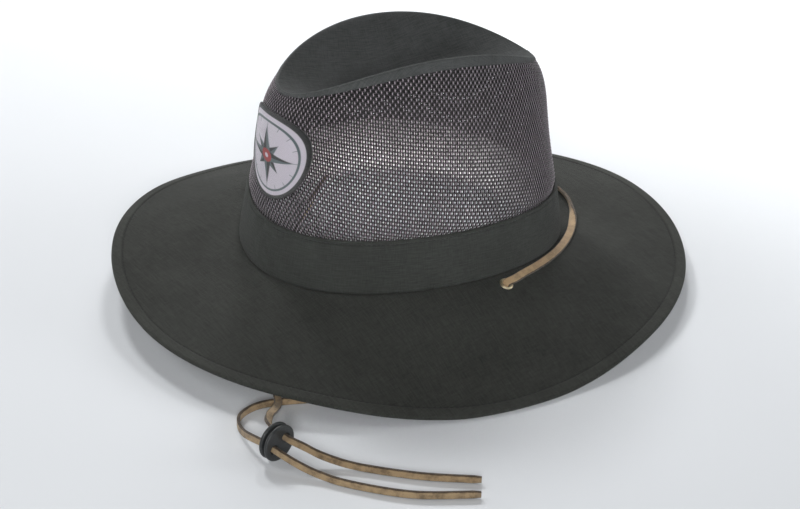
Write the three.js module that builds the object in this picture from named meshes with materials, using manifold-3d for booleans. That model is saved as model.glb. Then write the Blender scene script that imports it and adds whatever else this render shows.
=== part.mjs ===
// Safari hat: a cotton crown tip, band and brim round an open-mesh crown wall, with a pale sweatband inside,
// a round front patch and a flat leather chin lace that runs through two brass eyelets and a moulded slide.
// Millimetres, +Z up. The hat faces -Y, its wearer's left is +X, and it rests on the plane z = 0.

import * as THREE from "three";
import { mergeVertices } from "three/addons/utils/BufferGeometryUtils.js";
import Module from "manifold-3d";

const wasm = await Module();
wasm.setup();

// The seam where crown and brim meet: an oval, measured over the cloth.
const seam = { halfLength: 106, halfWidth: 88.3 };
const gap = 0.3; // kept between neighbouring pieces

// Heights above the table go round the hat as waves, with the angle counted from the front to the left.
const seamWave = [
  { turns: 0, along: 29.9, across: 0 },
  { turns: 1, along: 6, across: 0 },
  { turns: 2, along: -5, across: 0 },
];
const brimEdgeWave = [
  { turns: 0, along: 9.1, across: 0 },
  { turns: 1, along: 5.8, across: -0.7 },
  { turns: 2, along: 6, across: -6.5 },
  { turns: 3, along: -1.3, across: -0.2 },
  { turns: 4, along: -1, across: 0.8 },
  { turns: 5, along: -1.4, across: -0.3 },
];
const ridgeWave = [
  { turns: 0, along: 148.5, across: 0 },
  { turns: 1, along: 8.8, across: -0.5 },
  { turns: 2, along: -12.2, across: 0.5 },
  { turns: 3, along: -0.2, across: -0.4 },
];

// The brim is a little wider towards the turn named here, in degrees, and narrower opposite it.
const brim = { width: 78.5, cloth: 2.4, underBand: 3, wider: 0.014, widerTurn: 150, segments: 80 };
const brimFall = { start: 0.8, droop: 0.7, level: -0.5 }; // how it falls: at once, then more, then less
const brimStations = [-brim.underBand, 0, 18, 38, 57, 69, 75.3, brim.width]; // out from the seam
const band = { height: 34.4, lean: 5.4, cloth: 1.8, segments: 72 };
const sweatband = { inside: 3.5, cloth: 1, topShare: 0.95, below: 0.5, segments: 60 }; // below the seam
const wallBend = 1.18; // above 1 the crown wall stands up first and leans in near the ridge
// How far the wall swells near its top, and the curve that the swelling follows up the wall.
const shoulder = { mean: 1.9, ends: 3.6, front: 0.5, power: 3.3, toOne: 10.3 };
const cotton = 1.4;
const net = { wall: 1, behindBand: 8, behindSkirt: 0.15, segments: 60 }; // behindSkirt: a share of the skirt
const ridge = { halfLength: 90.2, halfWidth: 37.7, setBack: 1.4 };
const skirt = { mean: 5.2, ends: -2.2, front: -0.1 }; // how far the tip's cloth hangs below the ridge
const dent = { floor: 125.9, steepness: 2.2, foldShare: 0.6 };
const tip = { segments: 60 };
const patch = { radius: 27, thickness: 1.8, proud: 0.5, wallShare: 0.52, rings: 4, segments: 28 };
const eyelet = { turn: 94, out: 6.5, flange: 4, bore: 2.5, barrel: 2.9, lip: 0.9, underFlange: 3.7 };
const slide = {
  centre: [128.8, -173.5, 10.9],
  turn: 11.5, // degrees that its axis points towards the back, off +X
  roll: 26, // degrees that its two holes are turned off level
  radius: 10.7,
  groove: 8.3,
  thickness: 6,
  flange: 2.1,
  rounding: 0.7,
  holeRadius: 2.6,
  holeSpread: 4.7,
};
const lace = { width: 4, thickness: 1.8, corner: 0.45 };

// The sum of a table of waves at an angle.
const waveAt = (table, angle) =>
  table.reduce((z, w) => z + w.along * Math.cos(w.turns * angle) + w.across * Math.sin(w.turns * angle), 0);

const mix = (a, b, share) => a + (b - a) * share;

// The level outward direction of the seam's oval.
function outward(angle) {
  const x = Math.sin(angle) * seam.halfLength;
  const y = -Math.cos(angle) * seam.halfWidth;
  return new THREE.Vector3(x, y, 0).normalize();
}

function seamPoint(angle) {
  const x = seam.halfWidth * Math.sin(angle);
  const y = -seam.halfLength * Math.cos(angle);
  return new THREE.Vector3(x, y, waveAt(seamWave, angle));
}

// The brim's top face, a distance out from the seam. Its margin under the band is level, it droops towards
// its edge, and it lies flat where it meets the table.
function brimPoint(angle, out) {
  const share = Math.max(out, 0) / brim.width;
  const fall = share * (brimFall.start + share * (brimFall.droop + share * brimFall.level));
  const wider = 1 + brim.wider * Math.cos(angle - THREE.MathUtils.degToRad(brim.widerTurn));
  const point = seamPoint(angle).addScaledVector(outward(angle), out * wider);
  point.z = mix(point.z, waveAt(brimEdgeWave, angle), fall) + brim.cloth / 2;
  point.z = Math.max(point.z, brim.cloth);
  return point;
}

// The band's outer face, from the seam (share 0) to the band's top (share 1).
function bandPoint(angle, share) {
  const foot = brim.cloth / 2 + gap;
  const point = seamPoint(angle).addScaledVector(outward(angle), -band.lean * share);
  point.z += mix(foot, band.height, share);
  return point;
}

function ridgePoint(angle) {
  const x = ridge.halfWidth * Math.sin(angle);
  const y = ridge.setBack - ridge.halfLength * Math.cos(angle);
  return new THREE.Vector3(x, y, waveAt(ridgeWave, angle));
}

// The crown's outer face, from the band's top (share 0) to the ridge (share 1). It stands up, swells at the
// front and back, then leans in.
function wallPoint(angle, share) {
  const from = bandPoint(angle, 1);
  const to = ridgePoint(angle);
  const up = Math.max(share, 0);
  const leanIn = Math.pow(up, wallBend);
  const swell = shoulder.mean + shoulder.ends * Math.cos(2 * angle) + shoulder.front * Math.cos(angle);
  const curve = shoulder.toOne * Math.pow(up, shoulder.power) * (1 - up);
  return new THREE.Vector3(mix(from.x, to.x, leanIn), mix(from.y, to.y, leanIn), mix(from.z, to.z, share))
    .addScaledVector(outward(angle), swell * curve);
}

// The share of the wall at a drop below the ridge.
function shareBelowRidge(angle, drop) {
  return 1 - drop / (ridgePoint(angle).z - bandPoint(angle, 1).z);
}

const skirtDrop = (angle) => skirt.mean + skirt.ends * Math.cos(2 * angle) + skirt.front * Math.cos(angle);

// The dent in the crown's top, from the ridge (share 0) down to its middle (share 1).
function dentPoint(angle, share) {
  const edge = ridgePoint(angle);
  const down = 1 - Math.pow(1 - share, dent.steepness);
  return new THREE.Vector3(
    mix(edge.x, 0, share),
    mix(edge.y, ridge.setBack, share),
    mix(edge.z, dent.floor, down),
  );
}

const angleOf = (step, segments) => (2 * Math.PI * step) / segments;

// A sheet is rows of points that go round the hat. Its face looks left of the way that the rows run.
function sheetGeometry(rows, pole) {
  const around = rows[0].length;
  const points = rows.flat();
  const faces = [];
  for (let r = 0; r + 1 < rows.length; r++)
    for (let k = 0; k < around; k++) {
      const a = r * around + k;
      const b = r * around + ((k + 1) % around);
      faces.push(a, b, b + around, a, b + around, a + around);
    }
  if (pole) {
    const last = (rows.length - 1) * around;
    for (let k = 0; k < around; k++) faces.push(last + k, last + ((k + 1) % around), points.length);
    points.push(pole);
  }
  return new THREE.BufferGeometry().setFromPoints(points).setIndex(faces);
}

// Closes a sheet into a wall: a second face lies behind the first, and a strip joins each free rim.
function wallGeometry(rows, pole, behind) {
  const around = rows[0].length;
  const front = sheetGeometry(rows, pole);
  front.computeVertexNormals();
  const place = front.attributes.position;
  const normal = front.attributes.normal;
  const count = place.count;
  const points = [];
  for (let i = 0; i < count; i++) points.push(new THREE.Vector3().fromBufferAttribute(place, i));
  for (let i = 0; i < count; i++)
    points.push(behind(points[i].clone(), new THREE.Vector3().fromBufferAttribute(normal, i)));
  const faces = Array.from(front.index.array);
  for (let i = 0, n = faces.length; i < n; i += 3)
    faces.push(faces[i] + count, faces[i + 2] + count, faces[i + 1] + count);
  const rims = pole ? [0] : [0, (rows.length - 1) * around];
  rims.forEach((start, rim) => {
    for (let k = 0; k < around; k++) {
      const a = start + k;
      const b = start + ((k + 1) % around);
      if (rim === 0) faces.push(a, a + count, b + count, a, b + count, b);
      else faces.push(a, b + count, a + count, a, b, b + count);
    }
  });
  return new THREE.BufferGeometry().setFromPoints(points).setIndex(faces);
}

// The same rows of points, moved to lie behind their own sheet.
function insetRows(rows, distance) {
  const sheet = sheetGeometry(rows, null);
  sheet.computeVertexNormals();
  const normal = new THREE.Vector3();
  return rows.map((row, r) =>
    row.map((point, k) => {
      normal.fromBufferAttribute(sheet.attributes.normal, r * row.length + k);
      return point.clone().addScaledVector(normal, -distance);
    }),
  );
}

const ring = (segments, pointAt) => Array.from({ length: segments }, (_, k) => pointAt(angleOf(k, segments)));
const inwardBy = (thickness) => (point, normal) => point.addScaledVector(normal, -thickness);
const levelInwardBy = (thickness) => (point, normal) =>
  point.addScaledVector(normal.setZ(0).normalize(), -thickness);

function solidOf(geometry) {
  const bare = geometry.index ? geometry.clone() : geometry;
  bare.deleteAttribute("normal");
  bare.deleteAttribute("uv");
  const merged = mergeVertices(bare, 1e-4);
  return new wasm.Manifold(
    new wasm.Mesh({
      numProp: 3,
      vertProperties: merged.attributes.position.array,
      triVerts: new Uint32Array(merged.index.array),
    }),
  );
}

function geometryOf(solid) {
  const mesh = solid.getMesh();
  const geometry = new THREE.BufferGeometry();
  geometry.setAttribute("position", new THREE.BufferAttribute(mesh.vertProperties, mesh.numProp));
  return geometry.setIndex(new THREE.BufferAttribute(mesh.triVerts, 1));
}

const cut = (geometry, tools) =>
  geometryOf(tools.reduce((solid, tool) => solid.subtract(solidOf(tool)), solidOf(geometry)));

// An eyelet's own frame: +Z out of the brim's top face, at its place left or right of the crown.
function eyeletFrame(side) {
  const angle = side * THREE.MathUtils.degToRad(eyelet.turn);
  const step = 0.02;
  const centre = brimPoint(angle, eyelet.out);
  const along = brimPoint(angle + step, eyelet.out).sub(brimPoint(angle - step, eyelet.out));
  const out = brimPoint(angle, eyelet.out + 1).sub(brimPoint(angle, eyelet.out - 1));
  const up = out.cross(along).normalize();
  const turn = new THREE.Quaternion().setFromUnitVectors(new THREE.Vector3(0, 0, 1), up);
  return new THREE.Matrix4().compose(centre, turn, new THREE.Vector3(1, 1, 1));
}

function brimGeometry() {
  const rows = brimStations.map((out) => ring(brim.segments, (angle) => brimPoint(angle, out))).reverse();
  const cloth = wallGeometry(rows, null, (point) => point.setZ(point.z - brim.cloth));
  const drill = (side) =>
    new THREE.CylinderGeometry(eyelet.barrel + gap, eyelet.barrel + gap, 4 * brim.cloth, 20)
      .rotateX(Math.PI / 2)
      .applyMatrix4(eyeletFrame(side));
  return cut(cloth, [drill(1), drill(-1)]);
}

function bandGeometry() {
  const rows = [0, 0.5, 1].map((share) => ring(band.segments, (angle) => bandPoint(angle, share)));
  return wallGeometry(rows, null, levelInwardBy(band.cloth));
}

// The sweatband stands inside the band and the mesh's foot, from just below the seam.
function sweatbandGeometry() {
  const inside = (angle, point) => point.addScaledVector(outward(angle), -sweatband.inside);
  const foot = (angle) => {
    const point = inside(angle, seamPoint(angle));
    return point.setZ(point.z - sweatband.below);
  };
  const top = (angle) => inside(angle, bandPoint(angle, sweatband.topShare));
  const rows = [foot, top].map((pointAt) => ring(sweatband.segments, pointAt));
  return wallGeometry(rows, null, levelInwardBy(sweatband.cloth));
}

// The mesh wall lies just inside the cotton: it starts behind the band and ends behind the tip's skirt.
function netGeometry() {
  const foot = 1 - net.behindBand / band.height;
  const top = (angle) => shareBelowRidge(angle, (1 - net.behindSkirt) * skirtDrop(angle));
  const rows = [ring(net.segments, (angle) => bandPoint(angle, foot))];
  for (const share of [0, 0.12, 0.26, 0.4, 0.54, 0.68, 0.82, 0.94, 1])
    rows.push(ring(net.segments, (angle) => wallPoint(angle, share * top(angle))));
  const inset = Math.max(band.cloth, cotton) + gap;
  return wallGeometry(insetRows(rows, inset), null, inwardBy(net.wall));
}

// The tip: a short skirt outside the wall, a rounded fold along the ridge, and the dent.
function tipGeometry() {
  const foldFrom = (angle) => wallPoint(angle, shareBelowRidge(angle, dent.foldShare * skirtDrop(angle)));
  const foldTo = (angle) => {
    const reach = ridgePoint(angle).setZ(0).distanceTo(new THREE.Vector3(0, ridge.setBack, 0));
    return dentPoint(angle, (dent.foldShare * skirtDrop(angle) + 1) / reach);
  };
  const fold = (angle, share) =>
    new THREE.QuadraticBezierCurve3(foldFrom(angle), ridgePoint(angle), foldTo(angle)).getPoint(share);
  const rows = [ring(tip.segments, (angle) => wallPoint(angle, shareBelowRidge(angle, skirtDrop(angle))))];
  for (const share of [0, 0.33, 0.67, 1]) rows.push(ring(tip.segments, (angle) => fold(angle, share)));
  for (const share of [0.28, 0.42, 0.58, 0.76, 0.9])
    rows.push(ring(tip.segments, (angle) => dentPoint(angle, share)));
  return wallGeometry(rows, new THREE.Vector3(0, ridge.setBack, dent.floor), inwardBy(cotton));
}

// A round patch bent to the front of the crown wall.
function patchGeometry() {
  const height = ridgePoint(0).z - bandPoint(0, 1).z;
  const onWall = (radius, angle) => {
    const across = radius * Math.cos(angle);
    const up = radius * Math.sin(angle);
    const share = patch.wallShare + up / height;
    const halfWidth = wallPoint(Math.PI / 2, share).x;
    return wallPoint(Math.asin(across / halfWidth), share);
  };
  const rows = [];
  for (let r = patch.rings; r > 0; r--)
    rows.push(ring(patch.segments, (angle) => onWall((patch.radius * r) / patch.rings, angle)));
  const raise = (point) => point.add(new THREE.Vector3(0, -patch.proud, 0));
  return wallGeometry(rows.map((row) => row.map(raise)), raise(onWall(0, 0)), inwardBy(patch.thickness));
}

// A brass eyelet, turned about its own axis: a rounded flange, a barrel through the brim, and a rolled rim.
function eyeletGeometry(side) {
  const under = -brim.cloth - gap;
  const profile = [
    [eyelet.bore, under - eyelet.lip],
    [eyelet.underFlange, under - eyelet.lip * 0.6],
    [eyelet.underFlange, under],
    [eyelet.barrel, under],
    [eyelet.barrel, gap],
    [eyelet.flange, gap],
    [eyelet.flange, gap + eyelet.lip * 0.4],
    [(eyelet.flange + eyelet.bore) / 2, gap + eyelet.lip],
    [eyelet.bore, gap + eyelet.lip * 0.5],
    [eyelet.bore, under - eyelet.lip],
  ].map(([radius, z]) => new THREE.Vector2(radius, z));
  return new THREE.LatheGeometry(profile, 18).rotateX(Math.PI / 2).applyMatrix4(eyeletFrame(side));
}

// The slide: a round grooved button that stands on its rim, with two holes for the lace.
function slideGeometry() {
  const half = slide.thickness / 2;
  const inner = half - slide.flange;
  const soft = slide.rounding;
  const profile = [
    [0, -half],
    [slide.radius - soft, -half],
    [slide.radius, -half + soft],
    [slide.radius, -inner - soft / 2],
    [slide.groove, -inner + soft / 2],
    [slide.groove, inner - soft / 2],
    [slide.radius, inner + soft / 2],
    [slide.radius, half - soft],
    [slide.radius - soft, half],
    [0, half],
  ].map(([radius, z]) => new THREE.Vector2(radius, z));
  const button = new THREE.LatheGeometry(profile, 24);
  const hole = (side) =>
    new THREE.CylinderGeometry(slide.holeRadius, slide.holeRadius, 2 * slide.thickness, 12)
      .translate(side * slide.holeSpread, 0, 0);
  const drilled = cut(button, [hole(1), hole(-1)]);
  return drilled
    .rotateY(THREE.MathUtils.degToRad(slide.roll))
    .rotateZ(-Math.PI / 2)
    .rotateZ(THREE.MathUtils.degToRad(slide.turn))
    .translate(...slide.centre);
}

// The lace's section: flat, with its corners taken off. The first size lies along the curve's normal.
function laceSection(high, wide) {
  const x = high / 2;
  const y = wide / 2;
  const c = lace.corner;
  return new THREE.Shape(
    [
      [x - c, -y],
      [x, c - y],
      [x, y - c],
      [x - c, y],
      [c - x, y],
      [-x, y - c],
      [-x, c - y],
      [c - x, -y],
    ].map(([h, w]) => new THREE.Vector2(h, w)),
  );
}

// A smooth curve that is sampled at its route's own points, which lie closer together in the bends.
class RouteCurve extends THREE.CatmullRomCurve3 {
  getPointAt(share, target) {
    return this.getPoint(share, target);
  }
  getTangentAt(share, target) {
    return this.getTangent(share, target);
  }
}

function laceGeometry(points, high, wide) {
  const path = new RouteCurve(points.map((p) => new THREE.Vector3(...p)), false, "centripetal");
  return new THREE.ExtrudeGeometry(laceSection(high, wide), { steps: points.length - 1, extrudePath: path });
}

// Each free stretch runs from its bare tail through the slide and under the brim to its eyelet.
const leftRoute = [
  [216.5, -102, 2.2],
  [199.5, -129.3, 2.2],
  [188.4, -141.3, 2.2],
  [167.2, -158.4, 2.2],
  [157.5, -164.5, 3],
  [150.5, -169.1, 4.7],
  [143, -173.6, 7.2],
  [135.5, -176.4, 8.7],
  [129.6, -177.6, 8.9],
  [123.8, -178.8, 8.8],
  [114, -179.8, 6.8],
  [104, -179, 3.8],
  [94.7, -176.5, 2.4],
  [88.5, -172.3, 2.2],
  [85.2, -165.4, 2.2],
  [84.4, -157.4, 2.2],
  [86.2, -149.3, 2.2],
  [89.8, -140.3, 2.2],
  [94.8, -129.2, 2.2],
  [99.5, -112.5, 2.2],
  [101, -90, 2.2],
  [100.5, -64.5, 2.2],
  [99, -41, 3.2],
  [97.5, -24, 6.5],
  [95, -10, 12],
  [93, 0, 18],
  [92.4, 5.5, 23.5],
  [92.7, 7.4, 27.6],
  [93.3, 7.5, 29.5],
  [94.1, 7.7, 31.8],
];
const rightRoute = [
  [206.5, -94, 2.2],
  [186.4, -119.3, 2.2],
  [162.4, -142.4, 2.4],
  [154.6, -149.5, 3.6],
  [146.5, -157.1, 6.4],
  [140, -164.1, 11],
  [133.8, -168.2, 12.8],
  [128, -169.3, 13],
  [122, -170.5, 12.9],
  [113.5, -169, 12],
  [105.1, -162.9, 10.4],
  [99.3, -156.2, 8],
  [92.8, -149.8, 5.8],
  [86.7, -146.7, 6.6],
  [79.7, -143.6, 6.2],
  [69.7, -139, 4.6],
  [54, -131.5, 2.6],
  [34.5, -119.5, 2.2],
  [7, -101, 2.2],
  [-22, -78.5, 2.2],
  [-49, -54, 2.4],
  [-68.5, -33.5, 5],
  [-81, -17, 10.5],
  [-88.5, -4, 17.5],
  [-92, 4, 23.5],
  [-92.7, 7.4, 27.6],
  [-93.3, 7.5, 29.5],
  [-94.1, 7.7, 31.6],
];

// The top loop lies on the brim behind the crown, counted on from the left eyelet round the back.
const topLoop = [
  { turn: 94.4, out: 6.9, lift: 2.3 },
  { turn: 95.8, out: 6.6, lift: 3.5 },
  { turn: 98, out: 6, lift: 3.4 },
  { turn: 102, out: 5, lift: 2.2 },
  { turn: 108, out: 4.3, lift: 2.2 },
  { turn: 116, out: 3.8, lift: 2.2 },
  { turn: 126, out: 3.6, lift: 2.2 },
  { turn: 137, out: 4.2, lift: 2.2 },
  { turn: 147, out: 6.2, lift: 2.2 },
  { turn: 156, out: 9.2, lift: 2.2 },
  { turn: 165, out: 13.2, lift: 2.2 },
  { turn: 173, out: 17.6, lift: 2.2 },
  { turn: 181, out: 20.6, lift: 2.2 },
  { turn: 190, out: 21.4, lift: 2.2 },
  { turn: 200, out: 18.6, lift: 2.2 },
  { turn: 210, out: 13.8, lift: 2.2 },
  { turn: 222, out: 8.6, lift: 2.2 },
  { turn: 234, out: 5.4, lift: 2.2 },
  { turn: 246, out: 4.2, lift: 2.2 },
  { turn: 257, out: 4.8, lift: 2.2 },
  { turn: 262, out: 6, lift: 3.4 },
  { turn: 264.2, out: 6.6, lift: 3.5 },
  { turn: 265.6, out: 6.9, lift: 2.3 },
];

function topRoute() {
  const inEyelet = (side, lift) => new THREE.Vector3(0, 0, lift).applyMatrix4(eyeletFrame(side));
  const overBrim = topLoop.map((row) => {
    const point = brimPoint(THREE.MathUtils.degToRad(row.turn), row.out);
    return point.setZ(point.z + row.lift);
  });
  const ends = [-1.2, 0.8];
  const route = [
    ...ends.map((lift) => inEyelet(1, lift)),
    ...overBrim,
    ...ends.map((lift) => inEyelet(-1, lift)).reverse(),
  ];
  return route.map((point) => point.toArray());
}

const black = { color: 0x232325, roughness: 0.95, metalness: 0 };
const finish = {
  cotton: new THREE.MeshStandardMaterial(black),
  net: new THREE.MeshStandardMaterial({ color: 0x4a4046, roughness: 0.9, metalness: 0 }),
  lining: new THREE.MeshStandardMaterial({ color: 0xd8d8d4, roughness: 0.9, metalness: 0 }),
  patch: new THREE.MeshStandardMaterial({ color: 0xc9c4ce, roughness: 0.7, metalness: 0 }),
  leather: new THREE.MeshStandardMaterial({ color: 0x8a6f4f, roughness: 0.8, metalness: 0 }),
  brass: new THREE.MeshStandardMaterial({ color: 0xb59a5c, roughness: 0.35, metalness: 1 }),
  moulded: new THREE.MeshStandardMaterial({ color: 0x3a3c3e, roughness: 0.5, metalness: 0 }),
};

const hat = new THREE.Group();
const add = (name, geometry, material) => {
  const mesh = new THREE.Mesh(geometry, material);
  mesh.name = name;
  hat.add(mesh);
};

add("brim", brimGeometry(), finish.cotton);
add("hatband", bandGeometry(), finish.cotton);
add("sweatband", sweatbandGeometry(), finish.lining);
add("crown_mesh", netGeometry(), finish.net);
add("crown_tip", tipGeometry(), finish.cotton);
add("front_patch", patchGeometry(), finish.patch);
add("eyelet_left", eyeletGeometry(1), finish.brass);
add("eyelet_right", eyeletGeometry(-1), finish.brass);
add("lace_top", laceGeometry(topRoute(), lace.thickness, lace.width), finish.leather);
add("lace_left", laceGeometry(leftRoute, lace.width, lace.thickness), finish.leather);
add("lace_right", laceGeometry(rightRoute, lace.width, lace.thickness), finish.leather);
add("cord_slide", slideGeometry(), finish.moulded);

export default hat;
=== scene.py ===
import math

import bpy
import numpy as np
from mathutils import Matrix, Vector


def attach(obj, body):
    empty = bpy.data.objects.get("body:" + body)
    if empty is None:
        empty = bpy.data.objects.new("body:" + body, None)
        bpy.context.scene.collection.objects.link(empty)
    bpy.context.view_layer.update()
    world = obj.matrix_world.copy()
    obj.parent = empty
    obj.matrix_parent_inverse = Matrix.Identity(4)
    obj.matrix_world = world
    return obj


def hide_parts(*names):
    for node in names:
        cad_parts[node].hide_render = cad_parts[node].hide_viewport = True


# A safari hat: cotton brim, band and tip round an open-mesh crown, an embroidered patch and a leather lace.
# It faces -Y, its wearer's left is +X and it lies on the plane z = 0. Shapes are worked out in millimetres,
# and meshFrom turns them into metres.

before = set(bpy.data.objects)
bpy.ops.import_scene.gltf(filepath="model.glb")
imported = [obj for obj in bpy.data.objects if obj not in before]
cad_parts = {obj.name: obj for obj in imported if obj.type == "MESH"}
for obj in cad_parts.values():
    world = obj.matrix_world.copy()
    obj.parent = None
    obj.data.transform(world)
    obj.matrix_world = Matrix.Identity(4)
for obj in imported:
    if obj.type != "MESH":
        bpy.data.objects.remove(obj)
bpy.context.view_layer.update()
mm = 0.001
rng = np.random.default_rng(7)


# Camera

cameraView = {
    "place": (0.8405, -0.6229, 0.6181),
    "azimuth": 53.5,
    "elevation": 30.2,
    "roll": 2.25,  # the photograph is tilted by this much
    "lens": 86.67,
    "sensor": 36.0,
}


def makeCamera(view):
    azimuth, elevation, roll = (math.radians(view[key]) for key in ("azimuth", "elevation", "roll"))
    level = Vector((math.cos(azimuth), math.sin(azimuth), 0))
    back = Vector(
        (
            math.sin(azimuth) * math.cos(elevation),
            -math.cos(azimuth) * math.cos(elevation),
            math.sin(elevation),
        )
    )
    steep = back.cross(level)
    right = level * math.cos(roll) + steep * math.sin(roll)
    up = steep * math.cos(roll) - level * math.sin(roll)
    data = bpy.data.cameras.new("photoCamera")
    data.lens = view["lens"]
    data.sensor_width = view["sensor"]
    data.clip_start = 0.01
    camera = bpy.data.objects.new("photoCamera", data)
    bpy.context.scene.collection.objects.link(camera)
    turned = Matrix((right, up, back)).transposed().to_4x4()
    camera.matrix_world = Matrix.Translation(view["place"]) @ turned
    bpy.context.scene.camera = camera


makeCamera(cameraView)
print("stage: camera")


# Meshes from arrays

def gridQuads(rows, columns, wrapRows, wrapColumns):  # corner numbers of every quad of a grid
    r = np.arange(rows if wrapRows else rows - 1)[:, None]
    c = np.arange(columns if wrapColumns else columns - 1)[None, :]
    corners = [(r, c), (r, c + 1), (r + 1, c + 1), (r + 1, c)]
    return np.stack([(i % rows) * columns + j % columns for i, j in corners], axis=-1).reshape(-1, 4)


def gridCorners(values):  # a value for every quad corner, from a grid that isn't wrapped
    rows, columns = values.shape[:2]
    r = np.arange(rows - 1)[:, None]
    c = np.arange(columns - 1)[None, :]
    corners = [(r, c), (r, c + 1), (r + 1, c + 1), (r + 1, c)]
    return np.stack([values[i, j] for i, j in corners], axis=2).reshape(-1, values.shape[-1])


def poleTris(rows, columns, firstPole, lastPole):  # fans from the two poles to a grid's first and last row
    c = np.arange(columns)
    n = (c + 1) % columns
    last = (rows - 1) * columns
    first = np.stack([np.full(columns, firstPole), n, c], axis=-1)
    end = np.stack([np.full(columns, lastPole), last + c, last + n], axis=-1)
    return np.concatenate([first, end])


def signedVolume(points, quads, tris):  # the sum of the tetrahedra between the origin and every triangle
    halves = np.concatenate([quads[:, [0, 1, 2]], quads[:, [0, 2, 3]], tris])
    a, b, c = (points[halves[:, k]] for k in range(3))
    return float(np.einsum("ij,ij->i", a, np.cross(b, c)).sum() / 6)


def meshFrom(name, points, quads, tris=None, cornerUv=None, marks=None):
    # points in millimetres; marks are named values for each point; faces are turned to point outwards
    points = np.asarray(points, float).reshape(-1, 3)
    tris = np.zeros((0, 3), int) if tris is None else tris
    inward = signedVolume(points, quads, tris) < 0
    if inward:
        quads, tris = quads[:, ::-1], tris[:, ::-1]
    starts = np.concatenate([np.arange(len(quads)) * 4, len(quads) * 4 + np.arange(len(tris)) * 3])
    corners = np.concatenate([quads.ravel(), tris.ravel()])
    mesh = bpy.data.meshes.new(name)
    mesh.vertices.add(len(points))
    mesh.vertices.foreach_set("co", (points * mm).astype(np.float32).ravel())
    mesh.loops.add(len(corners))
    mesh.loops.foreach_set("vertex_index", corners.astype(np.int32))
    mesh.polygons.add(len(starts))
    mesh.polygons.foreach_set("loop_start", starts.astype(np.int32))
    mesh.update(calc_edges=True)
    mesh.polygons.foreach_set("use_smooth", np.ones(len(starts), bool))
    for label, values in (marks or {}).items():
        mark = mesh.attributes.new(label, "FLOAT", "POINT")
        mark.data.foreach_set("value", np.asarray(values, np.float32).ravel())
    for label, values in (cornerUv or {}).items():
        whole = np.zeros((len(corners), 2), np.float32)
        flat = values.reshape(len(quads), 4, 2)
        whole[: 4 * len(quads)] = (flat[:, ::-1] if inward else flat).reshape(-1, 2)
        layer = mesh.uv_layers.new(name=label)
        layer.data.foreach_set("uv", (whole * mm).ravel())
    piece = bpy.data.objects.new(name, mesh)
    bpy.context.scene.collection.objects.link(piece)
    return piece


def closedGrid(name, points, uv=None, wrapRows=False, poles=None, marks=None):
    # rows of points; the last column joins the first, and poles close the first and last row
    # uv: named grids, with one column more than the points have, and one row more where the rows wrap
    rows, columns = points.shape[:2]
    quads = gridQuads(rows, columns, wrapRows, True)
    allPoints = points.reshape(-1, 3)
    tris = None
    if poles is not None:
        tris = poleTris(rows, columns, len(allPoints), len(allPoints) + 1)
        allPoints = np.concatenate([allPoints, np.asarray(poles, float)])
        if marks:
            marks = {label: np.append(values.ravel(), [0, 0]) for label, values in marks.items()}
    cornerUv = {label: gridCorners(grid) for label, grid in (uv or {}).items()}
    return meshFrom(name, allPoints, quads, tris, cornerUv, marks)


def unit(v):
    return v / np.maximum(np.linalg.norm(v, axis=-1, keepdims=True), 1e-9)


def mix(a, b, share):
    return a + (b - a) * share


def smoothStep(low, high, value):  # 0 to 1 between low and high, and falling where high is below low
    share = np.clip((value - low) / (high - low), 0, 1)
    return share * share * (3 - 2 * share)


def bump(value, centre, width):  # a bell curve
    return np.exp(-(((value - centre) / width) ** 2))


def runAlong(path):  # the distance travelled at each point of a path
    return np.concatenate([[0], np.cumsum(np.linalg.norm(np.diff(path, axis=0), axis=1))])


def sampleAlong(at, run, values):  # rows of values, read between the points that lie at run
    return np.stack([np.interp(at, run, column) for column in values.T], axis=-1)


def around(count, fineAt=None, fineWidth=0.0, fineCount=0):
    # angles of a full turn; where fineAt is given they are closer together at that place
    angles = np.arange(count) * 2 * math.pi / count
    if fineAt is None:
        return angles
    near = np.abs(angles - fineAt) < fineWidth
    extra = np.linspace(fineAt - fineWidth, fineAt + fineWidth, fineCount)
    return np.sort(np.concatenate([angles[~near], extra]))


def finish(piece, material, slot, *nodes):
    piece.data.materials.append(material)
    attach(piece, "root")
    if nodes:
        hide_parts(*nodes)


# The hat's form, from the same driving sizes as the solids

hatForm = {
    "seamHalfLength": 106,
    "seamHalfWidth": 88.3,
    "seamWave": [(0, 29.9, 0), (1, 6, 0), (2, -5, 0)],  # turns round the hat, along, across
    "brimEdgeWave": [
        (0, 9.1, 0), (1, 5.8, -0.7), (2, 6, -6.5),
        (3, -1.3, -0.2), (4, -1, 0.8), (5, -1.4, -0.3),
    ],
    "ridgeWave": [(0, 148.5, 0), (1, 8.8, -0.5), (2, -12.2, 0.5), (3, -0.2, -0.4)],
    "brimWidth": 78.5,
    "brimCloth": 2.4,
    "brimFall": (0.8, 0.7, -0.5),  # how it falls: at once, then more, then less
    "brimWider": 0.014,  # towards brimWiderTurn, in degrees, and narrower opposite it
    "brimWiderTurn": 150,
    "restSoftness": 0.4,  # how gently the brim's cloth turns level where it meets the table
    "bandHeight": 34.4,
    "bandLean": 5.4,
    "bandFoot": 1.5,
    "wallBend": 1.18,
    "shoulder": (1.9, 3.6, 0.5),  # the wall's swelling near its top: mean, more at both ends, more in front
    "shoulderPower": 3.3,
    "shoulderToOne": 10.3,
    "ridgeHalfLength": 90.2,
    "ridgeHalfWidth": 37.7,
    "ridgeSetBack": 1.4,
    "skirtMean": 4.1,
    "skirtEnds": -3.3,
    "skirtFront": 0.3,
    "dentFloor": 125.9,
    "dentSteepness": 2.2,
}


def waveAt(table, angle):  # the sum of waves round the hat; the angle counts from the front to the left
    return sum(
        along * np.cos(turns * angle) + across * np.sin(turns * angle)
        for turns, along, across in table
    )


def asPoints(x, y, z):
    return np.stack(np.broadcast_arrays(x, y, z), axis=-1)


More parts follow.
